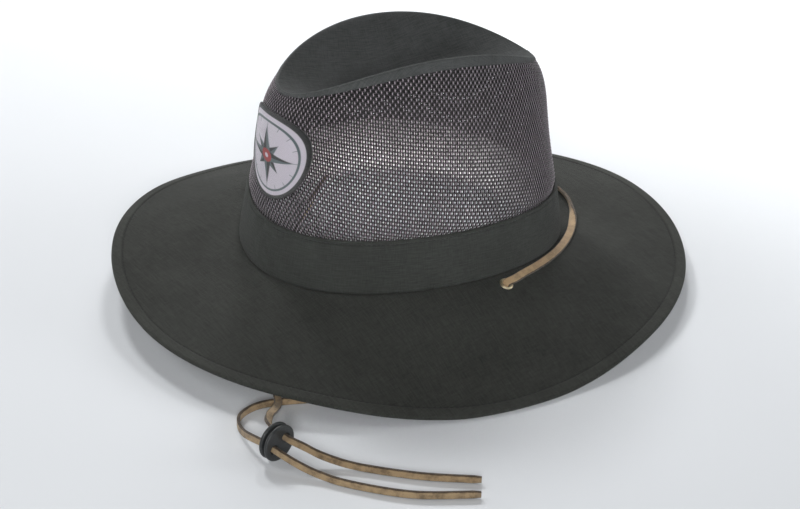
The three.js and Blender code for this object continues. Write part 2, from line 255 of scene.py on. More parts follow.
def outward(angle):  # the level outward direction of the seam's oval
    x = np.sin(angle) * hatForm["seamHalfLength"]
    y = -np.cos(angle) * hatForm["seamHalfWidth"]
    return unit(asPoints(x, y, 0.0))


def seamPoint(angle):
    x = hatForm["seamHalfWidth"] * np.sin(angle)
    y = -hatForm["seamHalfLength"] * np.cos(angle)
    return asPoints(x, y, waveAt(hatForm["seamWave"], angle))


def brimPoint(angle, out):
    # the top face: from the seam's height to the edge's, and never through the table
    share = np.maximum(out, 0) / hatForm["brimWidth"]
    start, droop, level = hatForm["brimFall"]
    fall = share * (start + share * (droop + share * level))
    wider = 1 + hatForm["brimWider"] * np.cos(angle - math.radians(hatForm["brimWiderTurn"]))
    point = seamPoint(angle) + outward(angle) * (out * wider)[..., None]
    low = hatForm["brimCloth"]
    free = mix(point[..., 2], waveAt(hatForm["brimEdgeWave"], angle), fall) + low / 2
    soft = hatForm["restSoftness"]
    point[..., 2] = (free + low + np.sqrt((free - low) ** 2 + soft**2)) / 2
    return point


def bandPoint(angle, share):  # the band's outer face, from its foot (share 0) to its top (share 1)
    point = seamPoint(angle) - outward(angle) * (hatForm["bandLean"] * np.asarray(share))[..., None]
    point[..., 2] += mix(hatForm["bandFoot"], hatForm["bandHeight"], share)
    return point


def ridgePoint(angle):
    x = hatForm["ridgeHalfWidth"] * np.sin(angle)
    y = hatForm["ridgeSetBack"] - hatForm["ridgeHalfLength"] * np.cos(angle)
    return asPoints(x, y, waveAt(hatForm["ridgeWave"], angle))


def wallPoint(angle, share):  # the crown's outer face: it stands up, swells at both ends, then leans in
    foot = bandPoint(angle, np.ones_like(angle * share))
    top = ridgePoint(angle) + 0 * foot
    up = np.maximum(share, 0)
    lean = (up ** hatForm["wallBend"] + 0 * foot[..., 0])[..., None]
    point = mix(foot, top, lean)
    point[..., 2] = mix(foot[..., 2], top[..., 2], share)
    mean, ends, front = hatForm["shoulder"]
    swell = mean + ends * np.cos(2 * angle) + front * np.cos(angle)
    curve = hatForm["shoulderToOne"] * up ** hatForm["shoulderPower"] * (1 - up)
    return point + outward(angle) * (swell * curve)[..., None]


def wallNormal(angle, share):  # the cross product of the two directions on the wall
    step = 1e-3
    along = wallPoint(angle + step, share) - wallPoint(angle - step, share)
    upward = wallPoint(angle, share + step) - wallPoint(angle, share - step)
    return unit(np.cross(along, upward))


def skirtDrop(angle):
    ends = hatForm["skirtEnds"] * np.cos(2 * angle)
    return hatForm["skirtMean"] + ends + hatForm["skirtFront"] * np.cos(angle)


def shareBelowRidge(angle, drop):
    foot = waveAt(hatForm["seamWave"], angle) + hatForm["bandHeight"]
    return 1 - drop / (waveAt(hatForm["ridgeWave"], angle) - foot)


def dentPoint(angle, share):
    # the dent: straight in towards the middle, and down as 1 - (1 - share) ^ steepness
    edge = ridgePoint(angle)
    down = 1 - (1 - share) ** hatForm["dentSteepness"]
    x = mix(edge[..., 0], 0, share)
    y = mix(edge[..., 1], hatForm["ridgeSetBack"], share)
    return asPoints(x, y, mix(edge[..., 2], hatForm["dentFloor"], down))


# Shader nodes

def addNode(tree, kind, settings=None, values=None):
    # values go to inputs by name or number: a socket is wired, anything else is set
    node = tree.nodes.new(kind)
    for key, value in (settings or {}).items():
        setattr(node, key, value)
    for key, value in (values or {}).items():
        if isinstance(value, bpy.types.NodeSocket):
            tree.links.new(value, node.inputs[key])
        else:
            node.inputs[key].default_value = value
    return node


def calc(tree, operation, *values):
    node = addNode(tree, "ShaderNodeMath", {"operation": operation}, dict(enumerate(values)))
    return node.outputs[0]


def weighted(tree, *pairs):  # the sum of each value times its weight
    total = None
    for value, weight in pairs:
        part = calc(tree, "MULTIPLY", value, weight)
        total = part if total is None else calc(tree, "ADD", total, part)
    return total


def oneMinus(tree, value):
    return calc(tree, "SUBTRACT", 1.0, value)


def ridges(tree, position, factor):  # |sin|: round threads side by side
    return calc(tree, "ABSOLUTE", calc(tree, "SINE", calc(tree, "MULTIPLY", position, factor)))


def blendColour(tree, share, first, second):  # a Mix node's colours go in at 6 and 7 and come out at 2
    values = {0: share, 6: first, 7: second}
    return addNode(tree, "ShaderNodeMix", {"data_type": "RGBA"}, values).outputs[2]


def scaled(tree, vector, scale):  # the coordinates times three factors
    return addNode(tree, "ShaderNodeMapping", {}, {"Vector": vector, "Scale": scale}).outputs[0]


def separate(tree, vector):
    return addNode(tree, "ShaderNodeSeparateXYZ", {}, {0: vector}).outputs


def noise(tree, vector, scale, detail=2.0, roughness=0.5):
    values = {"Vector": vector, "Scale": scale, "Detail": detail, "Roughness": roughness}
    return addNode(tree, "ShaderNodeTexNoise", {}, values).outputs["Fac"]


def remap(tree, value, low, high, toLow=0.0, toHigh=1.0):
    values = {"Value": value, "From Min": low, "From Max": high, "To Min": toLow, "To Max": toHigh}
    return addNode(tree, "ShaderNodeMapRange", {}, values).outputs[0]


def objectPlace(tree):
    return addNode(tree, "ShaderNodeTexCoord").outputs["Object"]


def uvPlace(tree, name):
    return addNode(tree, "ShaderNodeUVMap", {"uv_map": name}).outputs[0]


def markOn(tree, name, output="Fac"):  # what the piece carries at its points under this name
    return addNode(tree, "ShaderNodeAttribute", {"attribute_name": name}).outputs[output]


def newGroup(name, inputs, outputs):
    tree = bpy.data.node_groups.new(name, "ShaderNodeTree")
    for label, kind, value in inputs:
        socket = tree.interface.new_socket(name=label, in_out="INPUT", socket_type=kind)
        if value is not None:
            socket.default_value = value
    for label, kind in outputs:
        tree.interface.new_socket(name=label, in_out="OUTPUT", socket_type=kind)
    return tree, tree.nodes.new("NodeGroupInput").outputs, tree.nodes.new("NodeGroupOutput").inputs


def placeGroup(tree, group, values):
    return addNode(tree, "ShaderNodeGroup", {"node_tree": group}, values).outputs


def newMaterial(name, constants):
    material = bpy.data.materials.new(name)
    material.use_nodes = True
    shader = material.node_tree.nodes["Principled BSDF"]
    for key, value in constants.items():
        shader.inputs[key].default_value = value
    return material, material.node_tree, shader


def addBump(tree, shader, height, distance):
    node = addNode(tree, "ShaderNodeBump", {}, {"Height": height, "Distance": distance, "Strength": 1.0})
    tree.links.new(node.outputs[0], shader.inputs["Normal"])


def dress(tree, shader, cloth, bumpDepth):  # a group's colour, roughness and height go to the shader
    tree.links.new(cloth["Colour"], shader.inputs["Base Color"])
    tree.links.new(cloth["Roughness"], shader.inputs["Roughness"])
    addBump(tree, shader, cloth["Height"], bumpDepth)


vectorKind, colourKind, floatKind = "NodeSocketVector", "NodeSocketColor", "NodeSocketFloat"
clothOutputs = [("Colour", colourKind), ("Roughness", floatKind), ("Height", floatKind)]

weaveForm = {
    "yarnCurve": 0.35,  # below 1, a yarn stays high for most of the way between its crossings
    "slubAlong": (110, 1500, 300),  # the thick places in the yarn are drawn out along it
    "slubAcross": (1500, 150, 300),
    "slubShares": (0.6, 0.4),
    "slubNoise": {"scale": 1.0, "detail": 3.0, "roughness": 0.6},
    "slubRange": (0.38, 0.66),
    "lintNoise": {"scale": 2600.0, "detail": 2.0, "roughness": 0.7},
    "lintRange": (0.62, 0.78),
    "cloudNoise": {"scale": 28.0, "detail": 3.0, "roughness": 0.55},
    "cloudRange": (0.35, 0.7),
    "slubLight": 0.55,
    "weaveLight": 0.22,
    "lintLight": 0.25,
    # how much the clouds of wear and the piece's mark of wear and painted light lighten the cloth
    "wearAndPaintedLight": 0.5,
    "weaveHeight": 0.5,
    "slubHeight": 0.9,
    "roughness": (0.96, 0.84),  # of the darkest and the lightest cloth
}


def makeWeaveGroup(form):
    # plain weave: each crossing shows the warp or the weft, as |sin| across it and a soft bulge along it
    tree, given, result = newGroup(
        "plainWeave",
        [
            ("Vector", vectorKind, None),
            ("Colour", colourKind, (0.04, 0.04, 0.04, 1)),
            ("Light Colour", colourKind, (0.08, 0.08, 0.08, 1)),
            ("Threads", floatKind, 1800.0),
            ("Slub", floatKind, 0.5),
            ("Wear", floatKind, 0.3),
            ("Rubbed And Painted Light", floatKind, 0.0),
        ],
        clothOutputs,
    )
    place = given["Vector"]
    counted = {0: place, "Scale": given["Threads"]}
    threads = addNode(tree, "ShaderNodeVectorMath", {"operation": "SCALE"}, counted)
    u, v = separate(tree, threads.outputs[0])[:2]
    across = ridges(tree, u, math.pi)
    along = ridges(tree, v, math.pi)
    warp = calc(tree, "MULTIPLY", across, calc(tree, "POWER", along, form["yarnCurve"]))
    weft = calc(tree, "MULTIPLY", along, calc(tree, "POWER", across, form["yarnCurve"]))
    cells = calc(tree, "ADD", calc(tree, "FLOOR", u), calc(tree, "FLOOR", v))
    parity = calc(tree, "ABSOLUTE", calc(tree, "MODULO", cells, 2.0))
    weave = weighted(tree, (warp, parity), (weft, oneMinus(tree, parity)))
    slubs = weighted(
        tree,
        (noise(tree, scaled(tree, place, form["slubAlong"]), **form["slubNoise"]), form["slubShares"][0]),
        (noise(tree, scaled(tree, place, form["slubAcross"]), **form["slubNoise"]), form["slubShares"][1]),
    )
    slubMask = calc(tree, "MULTIPLY", remap(tree, slubs, *form["slubRange"]), given["Slub"])
    lint = remap(tree, noise(tree, place, **form["lintNoise"]), *form["lintRange"])
    cloudy = remap(tree, noise(tree, place, **form["cloudNoise"]), *form["cloudRange"])
    # random clouds of wear, plus the piece's mark: wear on the brim's hem, painted light on the tip, painted
    # shade on the sweatband
    toneShare = calc(tree, "ADD", calc(tree, "MULTIPLY", cloudy, given["Wear"]), given["Rubbed And Painted Light"])
    light = weighted(
        tree,
        (slubMask, form["slubLight"]),
        (weave, form["weaveLight"]),
        (lint, form["lintLight"]),
        (toneShare, form["wearAndPaintedLight"]),
    )
    share = calc(tree, "MINIMUM", light, 1.0)
    tree.links.new(blendColour(tree, share, given["Colour"], given["Light Colour"]), result["Colour"])
    tree.links.new(remap(tree, share, 0.0, 1.0, *form["roughness"]), result["Roughness"])
    height = weighted(tree, (weave, form["weaveHeight"]), (slubMask, form["slubHeight"]))
    tree.links.new(height, result["Height"])
    return tree


fibreForm = {
    "stretch": (900, 3600, 3600),  # the fibres run along the piece
    "fibreNoise": {"scale": 1.0, "detail": 4.0, "roughness": 0.65},
    "fibreRange": (0.45, 0.75),
    "fibreDark": 0.35,
    "blotchNoise": {"scale": 170.0, "detail": 3.0, "roughness": 0.6},
    "blotchRange": (0.42, 0.68),
    "roughness": (0.92, 0.72),  # of the light and the dark fibres
}


def makeFibreGroup(form):
    # short fibres: fine noise that is stretched along the piece, with darker blotches
    tree, given, result = newGroup(
        "suedeFibre",
        [
            ("Vector", vectorKind, None),
            ("Colour", colourKind, (0.4, 0.3, 0.2, 1)),
            ("Dark Colour", colourKind, (0.2, 0.12, 0.07, 1)),
            ("Edge", floatKind, 0.0),
            ("Blotches", floatKind, 0.4),
        ],
        clothOutputs,
    )
    place = given["Vector"]
    fibres = noise(tree, scaled(tree, place, form["stretch"]), **form["fibreNoise"])
    blotches = remap(tree, noise(tree, place, **form["blotchNoise"]), *form["blotchRange"])
    fibreDark = remap(tree, fibres, *form["fibreRange"])
    dark = weighted(tree, (blotches, given["Blotches"]), (fibreDark, form["fibreDark"]))
    # Edge darkens the fibres: painted shade on the net, the darker cut edge on the lace
    dark = calc(tree, "MINIMUM", calc(tree, "ADD", dark, given["Edge"]), 1.0)
    tree.links.new(blendColour(tree, dark, given["Colour"], given["Dark Colour"]), result["Colour"])
    tree.links.new(remap(tree, dark, 0.0, 1.0, *form["roughness"]), result["Roughness"])
    tree.links.new(fibres, result["Height"])
    return tree


grainForm = {
    "grainNoise": {"detail": 2.0, "roughness": 0.6},
    "grainRange": (0.4, 0.6),
    "patchNoise": {"scale": 220.0, "detail": 3.0, "roughness": 0.6},
    "patchRange": (0.4, 0.65),
}


def makeGrainGroup(form):
    # moulded or pressed surfaces: a fine grain, and a handling shine in soft patches
    tree, given, result = newGroup(
        "fineGrain",
        [
            ("Vector", vectorKind, None),
            ("Colour", colourKind, (0.1, 0.1, 0.1, 1)),
            ("Worn Colour", colourKind, (0.2, 0.2, 0.2, 1)),
            ("Grain", floatKind, 1500.0),
            ("Smooth", floatKind, 0.35),
            ("Rough", floatKind, 0.6),
        ],
        clothOutputs,
    )
    place = given["Vector"]
    grain = noise(tree, place, given["Grain"], **form["grainNoise"])
    patches = remap(tree, noise(tree, place, **form["patchNoise"]), *form["patchRange"])
    toneShare = calc(tree, "MULTIPLY", patches, remap(tree, grain, *form["grainRange"]))
    tree.links.new(blendColour(tree, toneShare, given["Colour"], given["Worn Colour"]), result["Colour"])
    rougher = calc(tree, "SUBTRACT", given["Rough"], given["Smooth"])
    rough = calc(tree, "ADD", given["Smooth"], calc(tree, "MULTIPLY", rougher, patches))
    tree.links.new(rough, result["Roughness"])
    tree.links.new(grain, result["Height"])
    return tree


weaveGroup = makeWeaveGroup(weaveForm)
fibreGroup = makeFibreGroup(fibreForm)
grainGroup = makeGrainGroup(grainForm)


def makeCotton(name, look, useUv):
    material, tree, shader = newMaterial(name, look["constants"])
    place = uvPlace(tree, "cloth") if useUv else objectPlace(tree)
    grain = {"Vector": place, "Rotation": (0, 0, look["grainTurn"])}
    turned = addNode(tree, "ShaderNodeMapping", {}, grain).outputs[0]
    # the mark is wear on the brim's hem, a painted highlight on the tip's ridge, painted light on its skirt
    # and painted shade on the sweatband
    rubbed = calc(tree, "MULTIPLY", markOn(tree, "rubbed"), look["rubbed"])
    values = {"Vector": turned, "Rubbed And Painted Light": rubbed, **look["weave"]}
    dress(tree, shader, placeGroup(tree, weaveGroup, values), look["bump"])
    return material


cottonLook = {
    "constants": {"Specular IOR Level": 0.2, "Sheen Weight": 0.05, "Sheen Roughness": 0.5},
    "weave": {
        "Colour": (0.0141, 0.0151, 0.0134, 1),
        "Light Colour": (0.0627, 0.0664, 0.0592, 1),
        "Threads": 1700.0,
        "Slub": 0.65,
        "Wear": 0.3,
    },
    "rubbed": 0.35,  # how much lighter the cloth is where its mark of wear and painted light is 1
    "grainTurn": 0.0,
    "bump": 0.00016,
}


def dyeAndPaintedLight(dark, light, **changes):  # the same cotton in another pair of colours: a pale dye for the lining, painted light for the tip and the band
    weave = {**cottonLook["weave"], "Colour": (*dark, 1), "Light Colour": (*light, 1)}
    return {**cottonLook, "weave": weave, **changes}


# painted light: the tip and the band are the brim's black cotton, painted paler to stand in for light
tipLook = dyeAndPaintedLight((0.0325, 0.035, 0.0342), (0.138, 0.145, 0.146), grainTurn=math.radians(90))
bandLook = dyeAndPaintedLight((0.0186, 0.0206, 0.0184), (0.082, 0.088, 0.0812))
liningLook = dyeAndPaintedLight((0.02, 0.02, 0.02), (0.5, 0.5, 0.49), rubbed=1.6)  # pale where its mark is high; the darker cloth elsewhere is painted shade
brimCotton = makeCotton("brimCotton", cottonLook, False)
bandCotton = makeCotton("bandCotton", bandLook, True)
liningCotton = makeCotton("liningCotton", liningLook, False)
tipCotton = makeCotton("tipCotton", tipLook, True)


threadLook = {
    "yarn": {"Colour": (0.018, 0.018, 0.019, 1), "Dark Colour": (0.006, 0.006, 0.007, 1), "Blotches": 0.3},
    "bump": 0.0001,
}


def makeThread(name, look):
    material, tree, shader = newMaterial(name, {"Specular IOR Level": 0.4})
    yarn = placeGroup(tree, fibreGroup, {"Vector": objectPlace(tree), **look["yarn"]})
    dress(tree, shader, yarn, look["bump"])
    return material


blackThread = makeThread("blackThread", threadLook)
print("stage: cotton and thread materials")


# Stitches

stitchShape = {
    "sides": 6,
    "rings": (-0.85, -0.45, 0, 0.45, 0.85),  # where its rings lie, from end to end as -1 to 1
    "lookAhead": 0.4,  # millimetres, to find its direction
}


def stitchRow(name, path, normals, form):
    # each stitch is a short capsule on the path: its radius goes as sqrt(1 - q^2) along it, and it is raised
    # by lift * (1 - q^2)
    run = runAlong(path)
    count = int(run[-1] / form["pitch"])
    centres = (np.arange(count) + 0.5) * run[-1] / count
    at = sampleAlong(centres, run, path)
    ahead = sampleAlong(centres + stitchShape["lookAhead"], run, path)
    lift = unit(sampleAlong(centres, run, normals))
    along = unit(ahead - at)
    side = np.cross(along, lift)
    q = np.array(stitchShape["rings"])
    turns = around(stitchShape["sides"])
    radius = form["radius"] * np.sqrt(1 - q**2)
    rise = form["lift"] * (1 - q**2) - form["sunk"]
    half = form["length"] / 2
    spine = at[:, None] + along[:, None] * (q * half)[None, :, None] + lift[:, None] * rise[None, :, None]
    ring = (lift[:, None, None] * np.cos(turns)[None, None, :, None]
            + side[:, None, None] * np.sin(turns)[None, None, :, None])
    body = spine[:, :, None] + ring * radius[None, :, None, None]
    ends = at[:, None] + along[:, None] * (np.array([-1, 1]) * half)[None, :, None]
    ends = ends - lift[:, None] * form["sunk"]
    points = np.concatenate([body.reshape(count, -1, 3), ends], axis=1)
    each = points.shape[1]
    quads = gridQuads(len(q), len(turns), False, True)
    tris = poleTris(len(q), len(turns), each - 2, each - 1)
    offset = (np.arange(count) * each)[:, None, None]
    allQuads = (quads[None] + offset).reshape(-1, 4)
    allTris = (tris[None] + offset).reshape(-1, 3)
    return meshFrom(name, points, allQuads, allTris)


# Brim

brimForm = {
    "underBand": 3,
    "hemLine": 71.6,  # the hem's stitches, out from the seam
    "hemRise": 0.35,
    "hemStep": 1.4,  # the rise is complete this far past the stitches
    "underShare": 0.5,  # of the hem's rise, on the underside
    "hemGroove": 0.2,
    "grooveWidth": 0.55,
    "hemReach": 1.6,  # the rows of points are close together this far on both sides of the stitches
    "hemRubbed": 0.8,
    "rubbedStep": 1.5,
    "footRise": 0.5,  # the seam allowance that lifts the cloth beside the band
    "footAt": 2.6,
    "footWidth": 2.2,
    "ripple": 0.3,
    "ripples": [(1, 7, 0.8, 17, 1.1), (0.6, 13, -1.3, 9, -2)],  # strength, waves, start, length, twist
    "rippleOut": (4, 30),  # the ripples grow between these distances from the seam
    "rippleAbove": (2, 6),  # and between these heights over the table
    "rows": {"top": 56, "hem": 9, "edge": 11, "underHem": 3, "under": 26},
    "columns": 600,
    "stitch": {"pitch": 3.2, "length": 2.5, "radius": 0.3, "lift": 0.22, "sunk": 0.16},
}


def makeBrim(form):
    # the section: top face, round edge and underside as (out, lift) pairs, carried round the seam's oval
    width = hatForm["brimWidth"]
    cloth = hatForm["brimCloth"]
    hem = form["hemLine"]
    reach = form["hemReach"]
    rows = form["rows"]
    underRise = form["hemRise"] * form["underShare"]
    edge = (form["hemRise"] + underRise + cloth) / 2
    fine = np.linspace(-reach, reach, rows["hem"]) + hem
    top = np.sort(np.concatenate([np.linspace(-form["underBand"], width - edge, rows["top"]), fine]))
    topLift = (form["hemRise"] * smoothStep(hem, hem + form["hemStep"], top)
               - form["hemGroove"] * bump(top, hem, form["grooveWidth"])
               + form["footRise"] * bump(top, form["footAt"], form["footWidth"]))
    bend = np.linspace(math.pi / 2, -math.pi / 2, rows["edge"])[1:-1]
    bendOut = width - edge + edge * np.cos(bend)
    bendLift = (form["hemRise"] - underRise - cloth) / 2 + edge * np.sin(bend)
    under = np.concatenate([
        np.linspace(width - edge, hem + reach, rows["underHem"]),
        fine[::-1][1:-1],
        np.linspace(hem - reach, -form["underBand"], rows["under"]),
    ])
    underLift = (-cloth - underRise * smoothStep(hem, hem + form["hemStep"], under)
                 + form["hemGroove"] * bump(under, hem, form["grooveWidth"]))
    out = np.concatenate([top, bendOut, under])[:, None]
    lift = np.concatenate([topLift, bendLift, underLift])[:, None]
    angle = around(form["columns"])[None, :]
    points = brimPoint(angle + 0 * out, out + 0 * angle)
    ripple = sum(
        strength * np.sin(waves * angle + start) * np.sin(out / length + twist * angle)
        for strength, waves, start, length, twist in form["ripples"]
    )
    free = smoothStep(*form["rippleOut"], out) * smoothStep(*form["rippleAbove"], points[..., 2])
    points[..., 2] += lift + form["ripple"] * ripple * free
    points[..., 2] = np.maximum(points[..., 2], 0.0)
    rubbed = smoothStep(hem, hem + form["rubbedStep"], out) * form["hemRubbed"] + 0 * angle
    piece = closedGrid("brimCloth", points, wrapRows=True, marks={"rubbed": rubbed})
    finish(piece, brimCotton, "cotton", "brim")
    row = int(np.argmin(np.abs(top - hem)))
    path = np.concatenate([points[row], points[row, :1]])
    stitches = stitchRow("brimStitches", path, np.tile([0.0, 0.0, 1.0], (len(path), 1)), form["stitch"])
    finish(stitches, blackThread, "cotton")


makeBrim(brimForm)
print("stage: brim")


# Band

bandForm = {
    "cloth": 1.8,
    "bulge": 0.5,
    "footGap": 0.3,
    "footTuck": 0.9,  # how deep and how high its foot is drawn in
    "rim": 1.5,  # the turned-over top edge
    "rimRise": 0.5,
    "rimStep": 0.9,
    "grooveBelow": 0.7,  # below the rim
    "groove": 0.45,
    "grooveWidth": 0.5,
    "grooveReach": 1.2,  # the rows of points are close together this far above and below the groove
    "pucker": 0.16,
    "puckerBelow": 4,  # where the puckers are strongest, and how far they reach
    "puckerReach": 6,
    "finePuckers": {"waves": 41, "drift": 0.5, "height": 3},
    "coarsePuckers": {"waves": 23, "share": 0.8, "height": 7},
    "seamRidge": 0.5,  # the seam at the back: two ridges with a groove between them
    "seamRidgeAt": 1.5,
    "seamRidgeWidth": 1.1,
    "seamGroove": 0.7,
    "seamGrooveWidth": 0.45,
    "seamColumns": {"fineWidth": 0.05, "fineCount": 41},
    "rows": {"up": 40, "groove": 9, "rim": 9, "down": 16},
    "columns": 480,
    "lengthSteps": 721,
    "stitch": {"pitch": 2.7, "length": 2.1, "radius": 0.24, "lift": 0.2, "sunk": 0.12},
}


def makeBand(form):
    # the section: (height, out) up the outer face, over the round rim and down the inner face
    tall = hatForm["bandHeight"]
    foot = hatForm["bandFoot"] + form["footGap"]
    grooveAt = tall - form["rim"] - form["grooveBelow"]
    rimRadius = form["cloth"] / 2
    rows = form["rows"]
    atGroove = np.linspace(-form["grooveReach"], form["grooveReach"], rows["groove"]) + grooveAt
    up = np.sort(np.concatenate([np.linspace(foot, tall - rimRadius, rows["up"]), atGroove]))
    upOut = (form["bulge"] * np.sin(math.pi * (up - foot) / (tall - foot))
             + form["rimRise"] * smoothStep(grooveAt, grooveAt + form["rimStep"], up)
             - form["groove"] * bump(up, grooveAt, form["grooveWidth"])
             - form["footTuck"] * bump(up, foot, form["footTuck"]))
    bend = np.linspace(0, math.pi, rows["rim"])[1:-1]
    bendUp = tall - rimRadius + rimRadius * np.sin(bend)
    bendOut = form["rimRise"] / 2 - rimRadius + (rimRadius + form["rimRise"] / 2) * np.cos(bend)
    down = np.linspace(tall - rimRadius, foot, rows["down"])
    height = np.concatenate([up, bendUp, down])[:, None]
    out = np.concatenate([upOut, bendOut, np.full(len(down), -form["cloth"])])[:, None]
    outer = np.concatenate([np.ones(len(up)), np.linspace(1, 0, len(bend)), np.zeros(len(down))])[:, None]
    angle = around(form["columns"], math.pi, **form["seamColumns"])[None, :]
    share = (height - hatForm["bandFoot"]) / (tall - hatForm["bandFoot"]) + 0 * angle
    fine, coarse = form["finePuckers"], form["coarsePuckers"]  # waves that drift sideways with the height
    pucker = (np.sin(fine["waves"] * angle + fine["drift"] * np.sin(height / fine["height"]))
              + coarse["share"] * np.sin(coarse["waves"] * angle + height / coarse["height"]))
    pucker = form["pucker"] * pucker * bump(height, tall - form["puckerBelow"], form["puckerReach"])
    fromBack = (angle - math.pi) * hatForm["seamHalfWidth"]
    join = (form["seamRidge"] * bump(np.abs(fromBack), form["seamRidgeAt"], form["seamRidgeWidth"])
            - form["seamGroove"] * bump(fromBack, 0, form["seamGrooveWidth"]))
    points = bandPoint(angle + 0 * height, share)
    points += outward(angle) * (out + outer * (pucker + join))[..., None]
    turns = around(form["lengthSteps"])
    length = np.interp(np.append(angle[0], 2 * math.pi), turns, runAlong(seamPoint(turns)))
    rise = np.concatenate([height[:, 0], height[:1, 0]])
    uv = np.stack(np.meshgrid(length, rise), axis=-1)
    piece = closedGrid("bandCloth", points, uv={"cloth": uv}, wrapRows=True)
    finish(piece, bandCotton, "cotton", "hatband")
    row = int(np.argmin(np.abs(up - grooveAt)))
    path = np.concatenate([points[row], points[row, :1]])
    normals = np.concatenate([outward(angle[0]), outward(angle[0, :1])])
    stitches = stitchRow("bandStitches", path, normals, form["stitch"])
    finish(stitches, blackThread, "cotton")


makeBand(bandForm)
print("stage: band")


# Sweatband: pale cotton inside the band, with painted shade that darkens it from its foot up to its top

sweatForm = {
    "inside": 3.5,  # of the band's outer face
    "cloth": 1.0,
    "topShare": 0.95,
    "below": 6.5,  # below the seam, past the brim's inner rim
    "ripple": 0.25,
    "waves": 29,
    "drift": 0.6,  # the waves are uneven: they lie up to this many radians of a wave to one side
    "driftWaves": 5,
    "fade": 1.6,  # the painted shade deepens upwards: its paleness falls as (1 - share of its height) to this power
    "rows": {"face": 14, "rim": 9},
    "columns": 360,
}


def makeSweatband(form):
    # the section: up the outer face, over a half circle and down the inner face, with shallow upright waves
    half = form["cloth"] / 2
    face = form["rows"]["face"]
    bend = np.linspace(0, math.pi, form["rows"]["rim"])[1:-1]
    share = np.concatenate([np.linspace(0, 1, face), np.ones(len(bend)), np.linspace(1, 0, face)])[:, None]
    overRim = half * (np.cos(bend) - 1)
    out = np.concatenate([np.zeros(face), overRim, np.full(face, -form["cloth"])])[:, None]
    rise = np.concatenate([np.zeros(face), half * np.sin(bend), np.zeros(face)])[:, None]
    angle = around(form["columns"])[None, :]
    foot = seamPoint(angle) - [0, 0, form["below"]]
    top = bandPoint(angle, np.full_like(angle, form["topShare"])) - [0, 0, half]
    drift = form["drift"] * np.sin(form["driftWaves"] * angle)
    wave = form["ripple"] * np.sin(form["waves"] * angle + drift) * np.sin(math.pi * share)
    points = mix(foot, top, share[..., None]) + outward(angle) * (out - form["inside"] + wave)[..., None]
    points[..., 2] += rise
    # painted shade: pale at the foot and painted darker up to the top, where shade falls inside the crown
    paintedLightAtFoot = (1 - share) ** form["fade"] + 0 * angle
    piece = closedGrid("sweatbandCloth", points, wrapRows=True, marks={"rubbed": paintedLightAtFoot})
    finish(piece, liningCotton, "lining", "sweatband")


makeSweatband(sweatForm)
print("stage: sweatband")


# Crown tip

tipForm = {
    "cloth": 1.4,
    "edgeCloth": 0.8,
    "fullCloth": (0.02, 0.15),  # the cloth thickens between these shares of the way to the middle
    "foldShare": 0.4,
    "foldPast": 1,  # the fold ends this far past its share of the skirt's drop
    "bead": 0.28,  # the crease that stands up along the ridge
    "beadPower": 4,
    # painted light: how much lighter the skirt is painted
    "skirtPaintedLight": 0.6,
    "lipDrop": 0.3,
    "dentEnd": 0.985,
    "dentCrowding": 1.15,  # above 1, the dent's rows are closer together near the ridge
    "ripple": 0.35,
    "ripples": [(1, 3, 1.1, 5, 0.5), (0.5, 5, 0.4, 9, 0)],  # strength, waves round, start, inwards, start
    "rippleFrom": (0.4, 0.55),
    "rippleTo": (0.8, 1.0),
    "rows": {"skirt": 8, "fold": 15, "dent": 40},
    "columns": 420,
}


def surfaceNormals(points):  # from the differences between neighbours; the columns wrap round
    along = np.roll(points, -1, axis=1) - np.roll(points, 1, axis=1)
    across = np.gradient(points, axis=0)
    return unit(np.cross(along, across))


